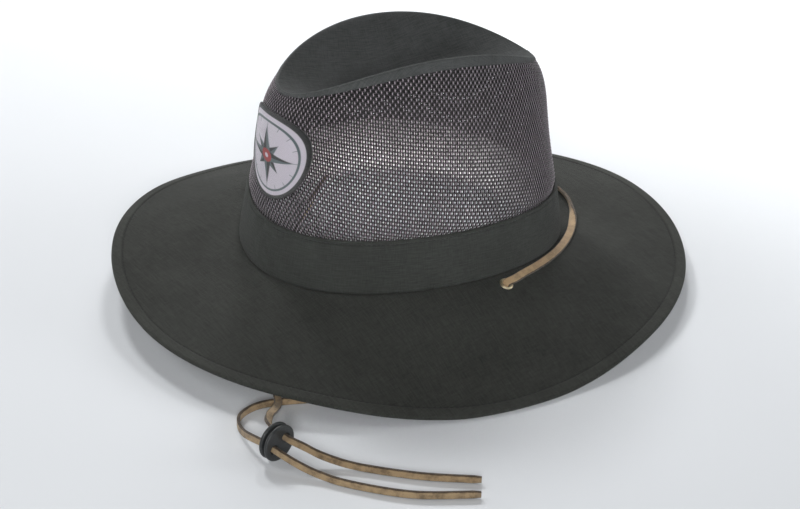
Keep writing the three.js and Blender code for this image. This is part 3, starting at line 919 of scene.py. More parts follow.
def makeTip(form):
    # rows from the skirt's lower edge, over the fold (a quadratic Bezier curve) and down the dent to its
    # middle; the inner face is the outer one, moved in along its normals
    rows = form["rows"]
    angle = around(form["columns"])[None, :]
    drop = skirtDrop(angle)
    skirtShare = np.linspace(1, form["foldShare"], rows["skirt"])[:, None]
    skirt = wallPoint(angle + 0 * skirtShare, shareBelowRidge(angle, drop * skirtShare))
    edge = ridgePoint(angle)
    reach = np.hypot(edge[..., 0], edge[..., 1] - hatForm["ridgeSetBack"])
    foldEnd = (form["foldShare"] * drop + form["foldPast"]) / reach
    q = np.linspace(0, 1, rows["fold"])[1:, None, None]
    fold = (1 - q) ** 2 * skirt[-1:] + 2 * q * (1 - q) * edge + q**2 * dentPoint(angle, foldEnd)
    steps = np.linspace(0, 1, rows["dent"])[1:, None] ** form["dentCrowding"]
    dent = dentPoint(angle + 0 * steps, mix(foldEnd, form["dentEnd"], steps))
    outer = np.concatenate([skirt, fold, dent])
    normals = surfaceNormals(outer)
    normals = normals * np.sign((normals[2] * outward(angle[0])).sum(-1).mean())  # outwards on the skirt
    inFold = np.zeros(len(outer))
    wave = np.sin(np.linspace(0, math.pi, len(fold) + 1))
    inFold[len(skirt) - 1 : len(skirt) + len(fold)] = wave ** form["beadPower"]
    plan = np.linspace(0, 1, len(outer))[:, None]
    soft = sum(
        strength * np.sin(waves * angle + start) * np.sin(inWaves * plan + inStart)
        for strength, waves, start, inWaves, inStart in form["ripples"]
    )
    soft = soft * smoothStep(*form["rippleFrom"], plan) * smoothStep(*form["rippleTo"][::-1], plan)
    outer = outer + normals * (form["bead"] * inFold[:, None] + form["ripple"] * soft)[..., None]
    thick = mix(form["edgeCloth"], form["cloth"], smoothStep(*form["fullCloth"], plan))
    inner = (outer - normals * (thick + 0 * angle)[..., None])[::-1]
    lip = (outer[:1] + inner[-1:]) / 2
    lip[..., 2] -= form["lipDrop"]
    points = np.concatenate([outer[::-1], lip, inner[::-1]])
    middle = np.array([0.0, hatForm["ridgeSetBack"], hatForm["dentFloor"]])
    fromMiddle = np.concatenate([np.tile(middle, (1, angle.size, 1)), points])
    run = np.cumsum(np.linalg.norm(np.diff(fromMiddle, axis=0), axis=2), axis=0)
    turn = np.arctan2(outer[0, :, 1], outer[0, :, 0])
    flat = np.stack([run * np.cos(turn), run * np.sin(turn)], axis=-1)
    uv = np.concatenate([flat, flat[:, :1]], axis=1)
    poles = [middle, middle - [0, 0, form["cloth"]]]
    # painted highlight along the ridge's fold and painted light on the skirt, both carried by the mark
    inFold[: len(skirt)] = np.maximum(inFold[: len(skirt)], form["skirtPaintedLight"])
    paintedRidgeAndSkirtLight = np.concatenate([inFold[::-1], np.zeros(len(inFold) + 1)])[:, None] + 0 * angle
    piece = closedGrid("tipCloth", points, uv={"cloth": uv}, poles=poles, marks={"rubbed": paintedRidgeAndSkirtLight})
    finish(piece, tipCotton, "cotton", "crown_tip")


makeTip(tipForm)
print("stage: crown tip")


# Crown mesh: knitted cloth with real holes, cut flat and bent round the crown with its seam at the back

netForm = {
    "pitch": 2.8,  # between holes in a row
    "rowGap": 2.16,
    "lean": 0.157,  # how far the rows fall away from level, for each radian round the crown
    "spread": 0.0013,  # how the columns spread with height, for each millimetre
    "spreadFrom": 20,  # millimetres up the flat cloth, where the pitch is as given
    "shear": -0.138,  # how far the columns lean along the rows, for each millimetre up
    "levelAt": 58,
    "rows": (-14, 70),  # of the flat lattice
    "columns": 110,  # to each side of the front
    "holeWidth": 1.0,
    "holeHeight": 1.45,
    "unevenWidth": 0.07,  # random, as a share
    "unevenHeight": 0.06,
    "wander": 0.035,  # random, in millimetres
    "cloth": 0.6,
    "rimDepths": (0.3, 0.75),  # shares of the cloth at which the hole's two rims lie
    "farHoles": 0.62,  # the holes are smaller by this factor on the right and at the back
    "fullHoles": (-25, -5, 130, 150),  # degrees: full between the middle two, far ones past the outer two
    "knotRise": 0.35,
    "strandRise": 0.05,
    "crests": {"knot": 1.0, "strand": 0.75, "rim": 0.3, "backRim": 0.1, "back": 0.15},  # how light each is painted: painted shade darkens the strands, the holes' rims and the back
    "inset": 0.7,  # below the cotton's outer face
    "bandInset": 2.2,
    "comesForward": (-0.5, 5),  # heights over the band's top between which it does
    "behindBand": 3.2,
    "behindSkirt": 0.35,  # a share of the skirt
    "backGap": 0.03,  # radians left open for the seam tape at the back
    "lowShare": -0.06,  # of the wall, where the table of heights starts
    "tableAngles": 361,
    "tableShares": 70,
    "firstRadius": 93,  # millimetres of cloth for each radian, as a first guess of the angle
    "newtonSteps": 8,
}


def netTables(form):
    # for angles 0 to pi: the flat cloth's foot line, and its height at each share of the wall
    angle = np.linspace(0, math.pi, form["tableAngles"])
    share = np.linspace(form["lowShare"], 1, form["tableShares"])
    foot = bandPoint(angle, np.ones_like(angle))
    levelRun = np.hypot(*(np.gradient(foot[:, k], angle) for k in (0, 1)))
    bend = form["lean"] * angle
    step = angle[1] - angle[0]
    footX = np.concatenate([[0], np.cumsum((levelRun * np.cos(bend))[:-1] * step)])
    footY = np.concatenate([[0], np.cumsum((levelRun * np.sin(bend))[:-1] * step)])
    wall = wallPoint(angle[:, None] + 0 * share, share[None, :] + 0 * angle[:, None])
    run = np.cumsum(np.linalg.norm(np.diff(wall, axis=1, prepend=wall[:, :1]), axis=2), axis=1)
    zero = np.array([np.interp(0, share, row) for row in run])[:, None]
    height = run - zero + (foot[:, 2:] - form["levelAt"])
    return angle, share, levelRun, footX, footY, height


def clothToWall(x, y, form, tables):
    # finds, by Newton steps, the angle whose upright line on the flat cloth passes through each point
    angleTable, shareTable, levelRun, footX, footY, heightTable = tables
    side = np.sign(x) + (x == 0)
    x = np.abs(x)
    angle = np.clip(x / form["firstRadius"], 0, math.pi)
    for _ in range(form["newtonSteps"]):
        bend = form["lean"] * angle
        dx = x - np.interp(angle, angleTable, footX)
        dy = y - np.interp(angle, angleTable, footY)
        height = -dx * np.sin(bend) + dy * np.cos(bend)
        wide = np.interp(angle, angleTable, levelRun) - form["lean"] * height
        angle = np.clip(angle + (dx * np.cos(bend) + dy * np.sin(bend)) / wide, -0.05, math.pi)
    at = np.clip(angle / (angleTable[1] - angleTable[0]), 0, len(angleTable) - 1.001)
    low = at.astype(int)
    part = (at - low)[:, None]
    rows = mix(heightTable[low], heightTable[low + 1], part)
    above = np.clip((rows < height[:, None]).sum(axis=1), 1, len(shareTable) - 1)
    pick = np.arange(len(above))
    below = rows[pick, above - 1]
    fine = (height - below) / (rows[pick, above] - below)
    share = shareTable[above - 1] + fine * (shareTable[1] - shareTable[0])
    return side * angle, share


def aboveBand(angle, share):
    return wallPoint(angle, share)[:, 2] - bandPoint(angle, np.ones_like(angle))[:, 2]


def netTop(angle, form):  # the cloth is cut off along this line, behind the tip's skirt
    return shareBelowRidge(angle, (1 - form["behindSkirt"]) * skirtDrop(angle))


def netPlace(angle, share, rise, form):
    # on the wall's own normal: behind the band the cloth lies deeper, above it it comes forward
    share = np.minimum(share, netTop(angle, form))
    forward = smoothStep(*form["comesForward"], aboveBand(angle, share))
    inset = mix(form["bandInset"], form["inset"], forward)
    return wallPoint(angle, share) + wallNormal(angle, share) * (rise - inset)[:, None]


def flatPlace(i, j, form):  # lattice numbers, in half pitches and half rows, to flat millimetres
    y = j * form["rowGap"] / 2
    return i * (form["pitch"] / 2) * (1 + form["spread"] * (y - form["spreadFrom"])) + form["shear"] * y, y


def strips(a, b, c, d):  # quads from four grids of point numbers
    return np.stack([a, b, c, d], axis=-1).reshape(-1, 4)


def makeNetHalf(name, cx, cy, turned, form, tables):
    # a cell is the brick round one hole: eight points on its border, shared with its neighbours, and eight
    # on the hole's rim, front and back
    count = len(cx)
    ringX = np.array([1, 1, 0, -1, -1, -1, 0, 1])
    ringY = np.array([0, 1, 1, 1, 0, -1, -1, -1])
    keyStep, keyShift = 4096, 1024  # one whole number stands for a pair, so that shared points are found
    keys = ((cx + ringX) * keyStep + (cy + ringY) + keyShift).ravel()
    unique, border = np.unique(keys, return_inverse=True)
    border = border.reshape(count, 8)
    borderX = np.floor_divide(unique, keyStep)
    borderY = unique - borderX * keyStep - keyShift
    x, y = flatPlace(borderX, borderY, form)
    knot = (borderY % 2 == 0)
    turns = around(8)
    jitter = rng.normal(0, form["wander"], (count, 2))
    holeX, holeY = flatPlace(cx, cy, form)
    rightFar, fullFrom, fullTo, backFar = form["fullHoles"]
    full = smoothStep(rightFar, fullFrom, turned) * smoothStep(backFar, fullTo, turned)
    size = mix(form["farHoles"], 1.0, full)
    wide = size * form["holeWidth"] / 2 * (1 + rng.normal(0, form["unevenWidth"], (count, 1)))
    tall = size * form["holeHeight"] / 2 * (1 + rng.normal(0, form["unevenHeight"], (count, 1)))
    rimX = (holeX + jitter[:, :1] + wide * np.cos(turns)).ravel()
    rimY = (holeY + jitter[:, 1:] + tall * np.sin(turns)).ravel()
    borderAt = clothToWall(x, y, form, tables)
    rimAt = clothToWall(rimX, rimY, form, tables)
    front, back = form["rimDepths"]
    points = np.concatenate([
        netPlace(*borderAt, np.where(knot, form["knotRise"], form["strandRise"]), form),
        netPlace(*rimAt, np.full(len(rimX), -form["cloth"] * front), form),
        netPlace(*rimAt, np.full(len(rimX), -form["cloth"] * back), form),
        netPlace(*borderAt, np.full(len(x), -form["cloth"]), form),
    ])
    rim = len(unique) + np.arange(count * 8).reshape(count, 8)
    rimBack = rim + count * 8
    shift = len(unique) + 2 * count * 8
    borderBack = border + shift
    nextOne = (np.arange(8) + 1) % 8
    edges = np.stack([border, border[:, nextOne]], axis=-1).reshape(-1, 2)
    pairs = np.sort(edges, axis=1)
    pairKey = pairs[:, 0] * len(unique) + pairs[:, 1]
    _, where, times = np.unique(pairKey, return_index=True, return_counts=True)
    free = edges[where[times == 1]]  # the cut edges of the cloth, which get a wall from front to back
    quads = np.concatenate([
        strips(border, border[:, nextOne], rim[:, nextOne], rim),
        strips(rim, rim[:, nextOne], rimBack[:, nextOne], rimBack),
        strips(rimBack, rimBack[:, nextOne], borderBack[:, nextOne], borderBack),
        strips(free[:, 1], free[:, 0], free[:, 0] + shift, free[:, 1] + shift),
    ])
    # painted shade: each point's lightness, from the knots down to the rims and the back
    crests = form["crests"]
    crest = np.concatenate([
        np.where(knot, crests["knot"], crests["strand"]),
        np.full(count * 8, crests["rim"]),
        np.full(count * 8, crests["backRim"]),
        np.full(len(unique), crests["back"]),
    ])
    print("holes in", name, count)
    return meshFrom(name, points, quads, marks={"crest": crest})


def makeNet(form):
    # a lattice of holes in brick order, kept where it lies on the crown, as a left and a right half
    tables = netTables(form)
    columns = np.arange(-form["columns"], form["columns"] + 1)
    column, row = np.meshgrid(columns, np.arange(*form["rows"]))
    centreX = (2 * column + row % 2).ravel()
    centreY = (2 * row).ravel()
    angle, share = clothToWall(*flatPlace(centreX, centreY, form), form, tables)
    keep = (aboveBand(angle, share) > -form["behindBand"]) & (share < netTop(angle, form))
    keep = keep & (np.abs(angle) < math.pi - form["backGap"])
    halves = (("crownNetLeft", centreX >= 0, ["crown_mesh"]), ("crownNetRight", centreX < 0, []))
    for name, side, nodes in halves:
        chosen = keep & side
        turned = np.degrees(angle[chosen])[:, None]
        piece = makeNetHalf(name, centreX[chosen, None], centreY[chosen, None], turned, form, tables)
        finish(piece, netMaterial, "net", *nodes)


netLook = {
    "constants": {"Specular IOR Level": 0.35, "Sheen Weight": 0.15},
    "yarn": {"Colour": (0.58, 0.5, 0.565, 1), "Dark Colour": (0.01, 0.009, 0.01, 1), "Blotches": 0.12},
    "crestRange": (0.6, 1.0),
    "bump": 0.00012,
}


def makeNetMaterial(look):
    # painted shade: the knots between the holes are light, and the strands are painted darker down to the
    # holes' rims and on the back
    material, tree, shader = newMaterial("knitMesh", look["constants"])
    shade = oneMinus(tree, remap(tree, markOn(tree, "crest"), *look["crestRange"]))
    yarn = placeGroup(tree, fibreGroup, {"Vector": objectPlace(tree), "Edge": shade, **look["yarn"]})
    dress(tree, shader, yarn, look["bump"])
    return material


netMaterial = makeNetMaterial(netLook)
makeNet(netForm)


tapeForm = {
    "width": 9,
    "cloth": 0.9,
    "proud": 0.2,
    "footShare": -0.05,  # of the wall
    "behindSkirt": 0.75,
    "groove": 0.35,
    "grooveWidth": 0.1,
    "clothStep": 0.7,  # millimetres of its weave between two columns
    "clothLength": 90,
    "rows": 60,
    "columns": 13,
}


def makeBackTape(form):
    # a narrow tape over the mesh's seam: its section bulges as sqrt(1 - x^4) and runs up the back wall
    back = np.array(math.pi)
    high = float(shareBelowRidge(back, form["behindSkirt"] * skirtDrop(back)))
    share = np.linspace(form["footShare"], high, form["rows"])[:, None]
    across = np.linspace(-1, 1, form["columns"])
    ring = np.concatenate([across, across[::-1]])[None, :]
    front = np.concatenate([np.ones(form["columns"]), np.zeros(form["columns"])])[None, :]
    angle = math.pi + ring * form["width"] / 2 / hatForm["seamHalfWidth"] + 0 * share
    share = share + 0 * ring
    groove = form["groove"] * bump(ring, 0, form["grooveWidth"])
    rise = form["proud"] - netForm["inset"] + front * (form["cloth"] * (1 - ring**4) ** 0.5 - groove)
    points = wallPoint(angle, share) + wallNormal(angle, share) * (rise + 0 * share)[..., None]
    ends = [points[0].mean(axis=0), points[-1].mean(axis=0)]
    clothAcross = np.arange(2 * form["columns"] + 1) * form["clothStep"]
    uv = np.stack(np.meshgrid(clothAcross, np.linspace(0, form["clothLength"], form["rows"])), axis=-1)
    piece = closedGrid("backTape", points, uv={"cloth": uv}, poles=ends)
    finish(piece, bandCotton, "cotton")


makeBackTape(tapeForm)
print("stage: crown mesh")


# Front patch: an embroidered compass rose

patchForm = {
    "radius": 27,
    "thickness": 1.3,
    "proud": 0.5,
    "wallShare": 0.52,
    "border": 2.4,
    "borderRise": 0.55,
    "innerRing": 21.5,
    "ringWidth": 0.8,
    "tickWaves": 8,  # round the ring, with two ticks for each
    "tickWidth": 0.12,
    "tickLength": 3,
    "tickShade": 0.9,
    "longPoint": 19,
    "shortPoint": 12.5,
    "waist": 4.5,
    "heart": 4.2,
    "eye": (1.6, 1.3),  # pale inside the heart
    "softEdge": 0.2,
    "starEdge": 0.25,
    "starRise": 0.35,
    "shortRise": 0.8,  # a share of the star's
    "ringRise": 0.6,
    "backShade": 0.3,
    "rings": 110,
    "columns": 400,
}

patchColours = {
    "field": (0.84, 0.79, 0.88),
    "dark": (0.012, 0.014, 0.014),
    "grey": (0.12, 0.17, 0.18),
    "red": (0.45, 0.03, 0.03),
}


def patchWall(x, y, form):  # flat patch millimetres to the wall: across it by arc sine, up it by its height
    height = waveAt(hatForm["ridgeWave"], 0) - waveAt(hatForm["seamWave"], 0) - hatForm["bandHeight"]
    share = form["wallShare"] + y / height
    halfWidth = wallPoint(np.full_like(share, math.pi / 2), share)[..., 0]
    return np.arcsin(np.clip(x / halfWidth, -1, 1)), share


def starMask(radius, turn, tip, offset, form):
    # four points: an edge lies where radius * cos(angle from the point) meets the line from waist to tip
    sector = math.pi / 2
    local = np.abs((turn + offset + sector / 2) % sector - sector / 2)
    ax, ay = radius * np.cos(local), radius * np.sin(local)
    wx, wy = form["waist"] * math.cos(sector / 2), form["waist"] * math.sin(sector / 2)
    side = (tip - wx) * ay + wy * (ax - wx) - (tip - wx) * wy
    return smoothStep(form["starEdge"], -form["starEdge"], side / math.hypot(tip - wx, wy))


def compassDesign(radius, turn, form):
    # masks by formula: two stars, a ring with ticks, the heart, the border and each point's bright half
    soft = form["softEdge"]
    innerRing = form["innerRing"]
    inside = form["radius"] - form["border"]
    long = starMask(radius, turn, form["longPoint"], 0, form)
    short = starMask(radius, turn, form["shortPoint"], math.pi / 4, form)
    ring = smoothStep(form["ringWidth"], form["ringWidth"] * 0.6, np.abs(radius - innerRing))
    atTick = np.abs(np.sin(turn * form["tickWaves"])) < form["tickWidth"]
    ticks = atTick & (radius > innerRing - form["tickLength"]) & (radius < innerRing)
    heart = smoothStep(form["heart"] + soft, form["heart"] - soft, radius)
    border = smoothStep(inside - soft, inside + soft, radius)
    bright = (np.sin(4 * turn) > 0).astype(float)
    return long, short, np.maximum(ring, ticks * form["tickShade"]), heart, border, bright


def makePatch(form, colours):
    radius = form["radius"] * np.linspace(0, 1, form["rings"])[1:, None]
    turn = around(form["columns"])[None, :]
    wholeRadius = radius + 0 * turn
    long, short, ring, heart, border, bright = compassDesign(wholeRadius, turn + 0 * radius, form)
    x, y = radius * np.cos(turn), radius * np.sin(turn)
    angle, share = patchWall(x, y, form)
    wall = wallPoint(angle, share)
    normal = wallNormal(angle, share)
    halfBorder = form["border"] / 2
    satin = np.sqrt(np.maximum(1 - ((radius - form["radius"] + halfBorder) / halfBorder) ** 2, 0))
    star = np.maximum(long, short * form["shortRise"])
    raised = (form["borderRise"] * satin * border
              + form["starRise"] * np.maximum(star, np.maximum(ring * form["ringRise"], heart)))
    sunk = form["proud"] - form["thickness"]
    front = wall + normal * (form["proud"] + raised)[..., None]
    side = wall[-1:] + normal[-1:] * (form["proud"] - form["thickness"] / 2)
    back = (wall + normal * sunk)[::-1]
    points = np.concatenate([front, side, back])
    colour = np.tile(np.array(colours["field"]), (len(radius), turn.shape[1], 1))
    layers = [
        (ring, "grey"),
        (short * bright, "grey"),
        (short * (1 - bright), "dark"),
        (long * bright, "dark"),
        (long * (1 - bright), "grey"),
        (heart, "red"),
        (smoothStep(*form["eye"], wholeRadius), "field"),
        (border, "dark"),
    ]
    for mask, tone in layers:  # each is sewn over the ones before it
        colour = mix(colour, np.array(colours[tone]), mask[..., None])
    whole = np.concatenate([colour, colour[-1:], colour[::-1] * form["backShade"]])
    flat = np.stack([x, y], axis=-1)
    uv = np.concatenate([flat, flat[-1:], flat[::-1]])
    uv = np.concatenate([uv, uv[:, :1]], axis=1)
    rim = np.append(turn, 2 * math.pi)[None, :] * form["radius"]
    polar = np.stack(np.broadcast_arrays(rim, radius), axis=-1)
    polar = np.concatenate([polar, polar[-1:], polar[::-1]])
    centreAngle, centreShare = patchWall(np.zeros(1), np.zeros(1), form)
    centre = wallPoint(centreAngle, centreShare)[0]
    out = wallNormal(centreAngle, centreShare)[0]
    poles = [centre + out * (form["proud"] + form["starRise"]), centre + out * sunk]
    upright = np.maximum(np.maximum(long, short), heart) * (1 - border)
    marks = {"star": np.concatenate([upright, upright[-1:], upright[::-1]])}
    piece = closedGrid("frontPatch", points, uv={"cloth": uv, "polar": polar}, poles=poles, marks=marks)
    paintLayer = piece.data.attributes.new("thread", "FLOAT_COLOR", "POINT")
    rgba = np.concatenate([whole.reshape(-1, 3), [colours["field"], colours["field"]]])
    rgba = np.concatenate([rgba, np.ones((len(rgba), 1))], axis=1)
    paintLayer.data.foreach_set("color", rgba.astype(np.float32).ravel())
    finish(piece, patchMaterial, "patch", "front_patch")


stitchLook = {
    "constants": {"Specular IOR Level": 0.5, "Sheen Weight": 0.2},
    "fieldPitch": 0.00042,
    "borderPitch": 0.0004,
    "wanderScale": 260.0,
    "wander": 0.0012,
    "between": 0.55,  # how dark it is between two threads
    "shadow": (0.02, 0.02, 0.022, 1),
    "roughness": (0.7, 0.4),  # between the threads and on them
    "bump": 0.00022,
}


def makePatchMaterial(look):
    # satin stitches: rows of rounded threads, level on the field, upright on the star, across on the border
    material, tree, shader = newMaterial("embroidery", look["constants"])
    flat = separate(tree, uvPlace(tree, "cloth"))
    polar = separate(tree, uvPlace(tree, "polar"))
    star = markOn(tree, "star")
    thread = markOn(tree, "thread", "Color")
    soft = noise(tree, objectPlace(tree), look["wanderScale"], 2.0)
    wander = calc(tree, "MULTIPLY", calc(tree, "SUBTRACT", soft, 0.5), look["wander"])

    def threads(position, pitch):
        return ridges(tree, calc(tree, "ADD", position, wander), math.pi / pitch)

    edgeAt = (patchForm["radius"] - patchForm["border"]) * mm
    onBorder = calc(tree, "GREATER_THAN", polar[1], edgeAt)
    field = threads(flat[1], look["fieldPitch"])
    upright = threads(flat[0], look["fieldPitch"])
    radial = threads(polar[0], look["borderPitch"])
    inner = weighted(tree, (field, oneMinus(tree, star)), (upright, star))
    height = weighted(tree, (inner, oneMinus(tree, onBorder)), (radial, onBorder))
    dark = calc(tree, "MULTIPLY", oneMinus(tree, height), look["between"])
    tree.links.new(blendColour(tree, dark, thread, look["shadow"]), shader.inputs["Base Color"])
    tree.links.new(remap(tree, height, 0.0, 1.0, *look["roughness"]), shader.inputs["Roughness"])
    addBump(tree, shader, height, look["bump"])
    return material


patchMaterial = makePatchMaterial(stitchLook)
makePatch(patchForm, patchColours)
print("stage: front patch")


# Eyelets

eyeletForm = {
    "turn": 94,
    "out": 6.5,
    "flange": 4.25,
    "bore": 2.5,
    "barrel": 2.9,
    "lip": 0.9,
    "lift": 0.15,  # of the rolled flange off the cloth
    "roll": (0.95, -0.1),  # its arc runs from the bore to the outside, as shares of a half turn
    "underFlange": 3.7,
    "underGap": 0.3,
    "columns": 64,
}


def eyeletFrame(side):  # centre, two directions on the brim and the way out of it
    angle = side * math.radians(eyeletForm["turn"])
    out = eyeletForm["out"]
    centre, ahead, behind = (brimPoint(np.array(angle + step), np.array(out)) for step in (0, 0.02, -0.02))
    farther, nearer = (brimPoint(np.array(angle), np.array(out + step)) for step in (1, -1))
    along = unit(ahead - behind)
    up = unit(np.cross(farther - nearer, along))
    return centre, along, np.cross(up, along), up


def makeEyelet(name, side, node, form):
    # a profile of (radius, height) turned about the eyelet's axis: rolled flange, barrel and under rim
    flange, bore, barrel, underFlange = (form[key] for key in ("flange", "bore", "barrel", "underFlange"))
    start, end = form["roll"]
    roll = np.linspace(math.pi * start, math.pi * end, 12)
    middle, half = (flange + bore) / 2, (flange - bore) / 2
    rollUp = form["lift"] + form["lip"] * np.maximum(np.sin(roll), 0)
    rolled = np.stack([middle + half * np.cos(roll), rollUp], -1)
    under = -hatForm["brimCloth"] - form["underGap"]
    rest = [
        (flange, 0.12), (barrel, 0.1), (barrel, under), (underFlange, under),
        (underFlange, under - 0.4), (barrel, under - 0.8), (bore + 0.1, under - 0.7),
    ]
    profile = np.concatenate([rolled, rest])
    centre, along, cross, up = eyeletFrame(side)
    turn = around(form["columns"])
    ring = along * np.cos(turn)[:, None] + cross * np.sin(turn)[:, None]
    points = centre + profile[:, :1, None] * ring[None] + profile[:, 1:, None] * up
    piece = closedGrid(name, points, wrapRows=True)
    finish(piece, brassMaterial, "brass", node)


def makeGrainMaterial(name, look):
    material, tree, shader = newMaterial(name, look["constants"])
    grain = placeGroup(tree, grainGroup, {"Vector": objectPlace(tree), **look["grain"]})
    dress(tree, shader, grain, look["bump"])
    return material


brassLook = {
    "constants": {"Metallic": 1.0},
    "grain": {
        "Colour": (0.84, 0.74, 0.52, 1),
        "Worn Colour": (0.6, 0.5, 0.32, 1),
        "Smooth": 0.3,
        "Rough": 0.5,
        "Grain": 2500.0,
    },
    "bump": 0.00003,
}
brassMaterial = makeGrainMaterial("eyeletBrass", brassLook)
makeEyelet("eyeletBrassLeft", 1, "eyelet_left", eyeletForm)
makeEyelet("eyeletBrassRight", -1, "eyelet_right", eyeletForm)
print("stage: eyelets")


# Lace

laceForm = {
    "width": 4.5,
    "topWidth": 5.1,  # pressed flat on the brim
    "thickness": 1.8,
    "corner": 0.45,
    "flats": 0.6,  # its flat sides have further points at this share of the half width
    "endSize": 0.82,  # its two ends are a little smaller
    "cutEdge": (0.55, 0.1),  # the cut edge's darker rim starts and is full this far from the side
    "perSpan": 8,
    "climb": (0.35, 0.8),  # how steep it is where its wide side starts and ends turning across the hat
    "leanWay": (0.69, -0.51, 0.51),  # its wide side turns this way behind the crown
    "leanFrom": (136, 170),  # degrees round the hat over which it turns that way, and back again
    "leanTo": (205, 236),
    "flipTurn": 190,  # past it the wide side is measured the other way, so that the lace has no twist
    "entry": 0.75,  # how far off the middle of its eyelet it goes in, along the brim and outwards
    "entryOut": 0.5,
    "entryDeep": 1.2,
    "entryHigh": 0.7,
}

leftRoute = [  # from the left eyelet, under the brim, through the slide's lower hole to the bare end
    (94.1, 7.7, 31.8), (93.3, 7.5, 29.5), (92.7, 7.4, 27.6), (92.4, 5.5, 23.5), (93, 0, 18),
    (95, -10, 12), (97.5, -24, 6.5), (99, -41, 3.2), (100.5, -64.5, 2.2), (101, -90, 2.2),
    (99.5, -112.5, 2.2), (94.8, -129.2, 2.2), (89.8, -140.3, 2.2), (86.2, -149.3, 2.2), (84.4, -157.4, 2.2),
    (85.2, -165.4, 2.2), (88.5, -172.3, 2.2), (94.7, -176.5, 2.4), (104, -179, 3.8), (114, -179.8, 6.8),
    (123.8, -178.8, 8.8), (129.6, -177.6, 8.9), (135.5, -176.4, 8.7), (143, -173.6, 7.2),
    (150.5, -169.1, 4.7), (157.5, -164.5, 3), (167.2, -158.4, 2.2), (188.4, -141.3, 2.2),
    (199.5, -129.3, 2.2), (216.5, -102, 2.2),
]
rightRoute = [  # from the right eyelet, under the hat, through the slide's upper hole to the bare end
    (-94.1, 7.7, 31.6), (-93.3, 7.5, 29.5), (-92.7, 7.4, 27.6), (-92, 4, 23.5), (-88.5, -4, 17.5),
    (-81, -17, 10.5), (-68.5, -33.5, 5), (-49, -54, 2.4), (-22, -78.5, 2.2), (7, -101, 2.2),
    (34.5, -119.5, 2.2), (54, -131.5, 2.6), (69.7, -139, 4.6), (79.7, -143.6, 6.2), (86.7, -146.7, 6.6),
    (92.8, -149.8, 5.8), (99.3, -156.2, 8), (105.1, -162.9, 10.4), (113.5, -169, 12), (122, -170.5, 12.9),
    (128, -169.3, 13), (133.8, -168.2, 12.8), (140, -164.1, 11), (146.5, -157.1, 6.4), (154.6, -149.5, 3.6),
    (162.4, -142.4, 2.4), (186.4, -119.3, 2.2), (206.5, -94, 2.2),
]
leftTwist = [(0, 0), (29, 0)]  # route point and degrees from upright
rightTwist = [(0, 0), (12, 0), (14, 70), (17, 75), (18, 40), (20, 0), (27, 0)]
topLoop = [  # over the brim behind the crown: turn in degrees, distance from the seam, lift off the cloth
    (94.0, 7.1, 1.75), (95.8, 7.1, 2.1), (98, 6.4, 1.7), (102, 5, 1.2), (108, 4.3, 1.15), (116, 3.8, 1.15),
    (126, 3.6, 1.15), (137, 4.2, 1.15), (147, 6.2, 1.3), (156, 9.2, 1.7), (165, 13.2, 2.2),
    (173, 17.6, 2.4), (181, 20.6, 2.4), (190, 21.4, 2.4), (200, 18.6, 2.2), (210, 13.8, 1.8),
    (222, 8.6, 1.15), (234, 5.4, 1.15), (246, 4.2, 1.15), (257, 4.8, 1.2), (262, 6.4, 1.7),
    (264.2, 7.1, 2.1), (266, 7.1, 1.75),
]


def smoothPath(points, perSpan):
    # centripetal Catmull-Rom: each span is blended from its four nearest points
    points = np.asarray(points, float)
    padded = np.concatenate([[2 * points[0] - points[1]], points, [2 * points[-1] - points[-2]]])
    p0, p1, p2, p3 = (padded[k : len(padded) - 3 + k, None] for k in range(4))

    def gapRoot(a, b):
        return np.sqrt(np.linalg.norm(b - a, axis=-1, keepdims=True))

    t1 = gapRoot(p0, p1)
    t2 = t1 + gapRoot(p1, p2)
    t3 = t2 + gapRoot(p2, p3)
    t = t1 + (t2 - t1) * (np.arange(perSpan) / perSpan)[None, :, None]
    a1 = ((t1 - t) * p0 + t * p1) / t1
    a2 = ((t2 - t) * p1 + (t - t1) * p2) / (t2 - t1)
    a3 = ((t3 - t) * p2 + (t - t2) * p3) / (t3 - t2)
    b1 = ((t2 - t) * a1 + t * a2) / t2
    b2 = ((t3 - t) * a2 + (t - t1) * a3) / (t3 - t1)
    curve = ((t2 - t) * b1 + (t - t1) * b2) / (t2 - t1)
    return np.concatenate([curve.reshape(-1, 3), points[-1:]])


def makeRibbon(name, path, wideWay, form):
    # a rounded rectangle carried along the path; its wide side follows wideWay at every point
    along = unit(np.gradient(path, axis=0))
    wide = unit(wideWay - along * (wideWay * along).sum(-1, keepdims=True))
    thin = np.cross(along, wide)
    corner = form["corner"]
    halfWidth, halfThick = form["width"] / 2, form["thickness"] / 2
    turn = np.linspace(0, math.pi / 2, 4)
    cornerX = halfWidth - corner + corner * np.cos(turn)
    cornerY = halfThick - corner + corner * np.sin(turn)
    flats = np.array([1, 0, -1]) * form["flats"] * halfWidth
    topX = np.concatenate([cornerX, flats, -cornerX[::-1]])
    topY = np.concatenate([cornerY, np.full(3, halfThick), cornerY[::-1]])
    section = np.stack([np.concatenate([topX, -topX]), np.concatenate([topY, -topY])], axis=-1)
    size = np.ones(len(path))
    size[[0, -1]] = form["endSize"]
    rings = section[None] * size[:, None, None]
    points = path[:, None] + wide[:, None] * rings[..., :1] + thin[:, None] * rings[..., 1:]
    run = runAlong(path)
    rim = runAlong(np.concatenate([section, section[:1]]))
    uv = np.stack(np.meshgrid(run, rim, indexing="ij"), axis=-1)
    starts, full = form["cutEdge"]
    edge = smoothStep(halfWidth - starts, halfWidth - full, np.abs(section[:, 0]))
    marks = {"cutEdge": np.tile(edge, (len(path), 1))}
    piece = closedGrid(name, points, uv={"cloth": uv}, poles=[path[0], path[-1]], marks=marks)
    return piece, float(run[-1])


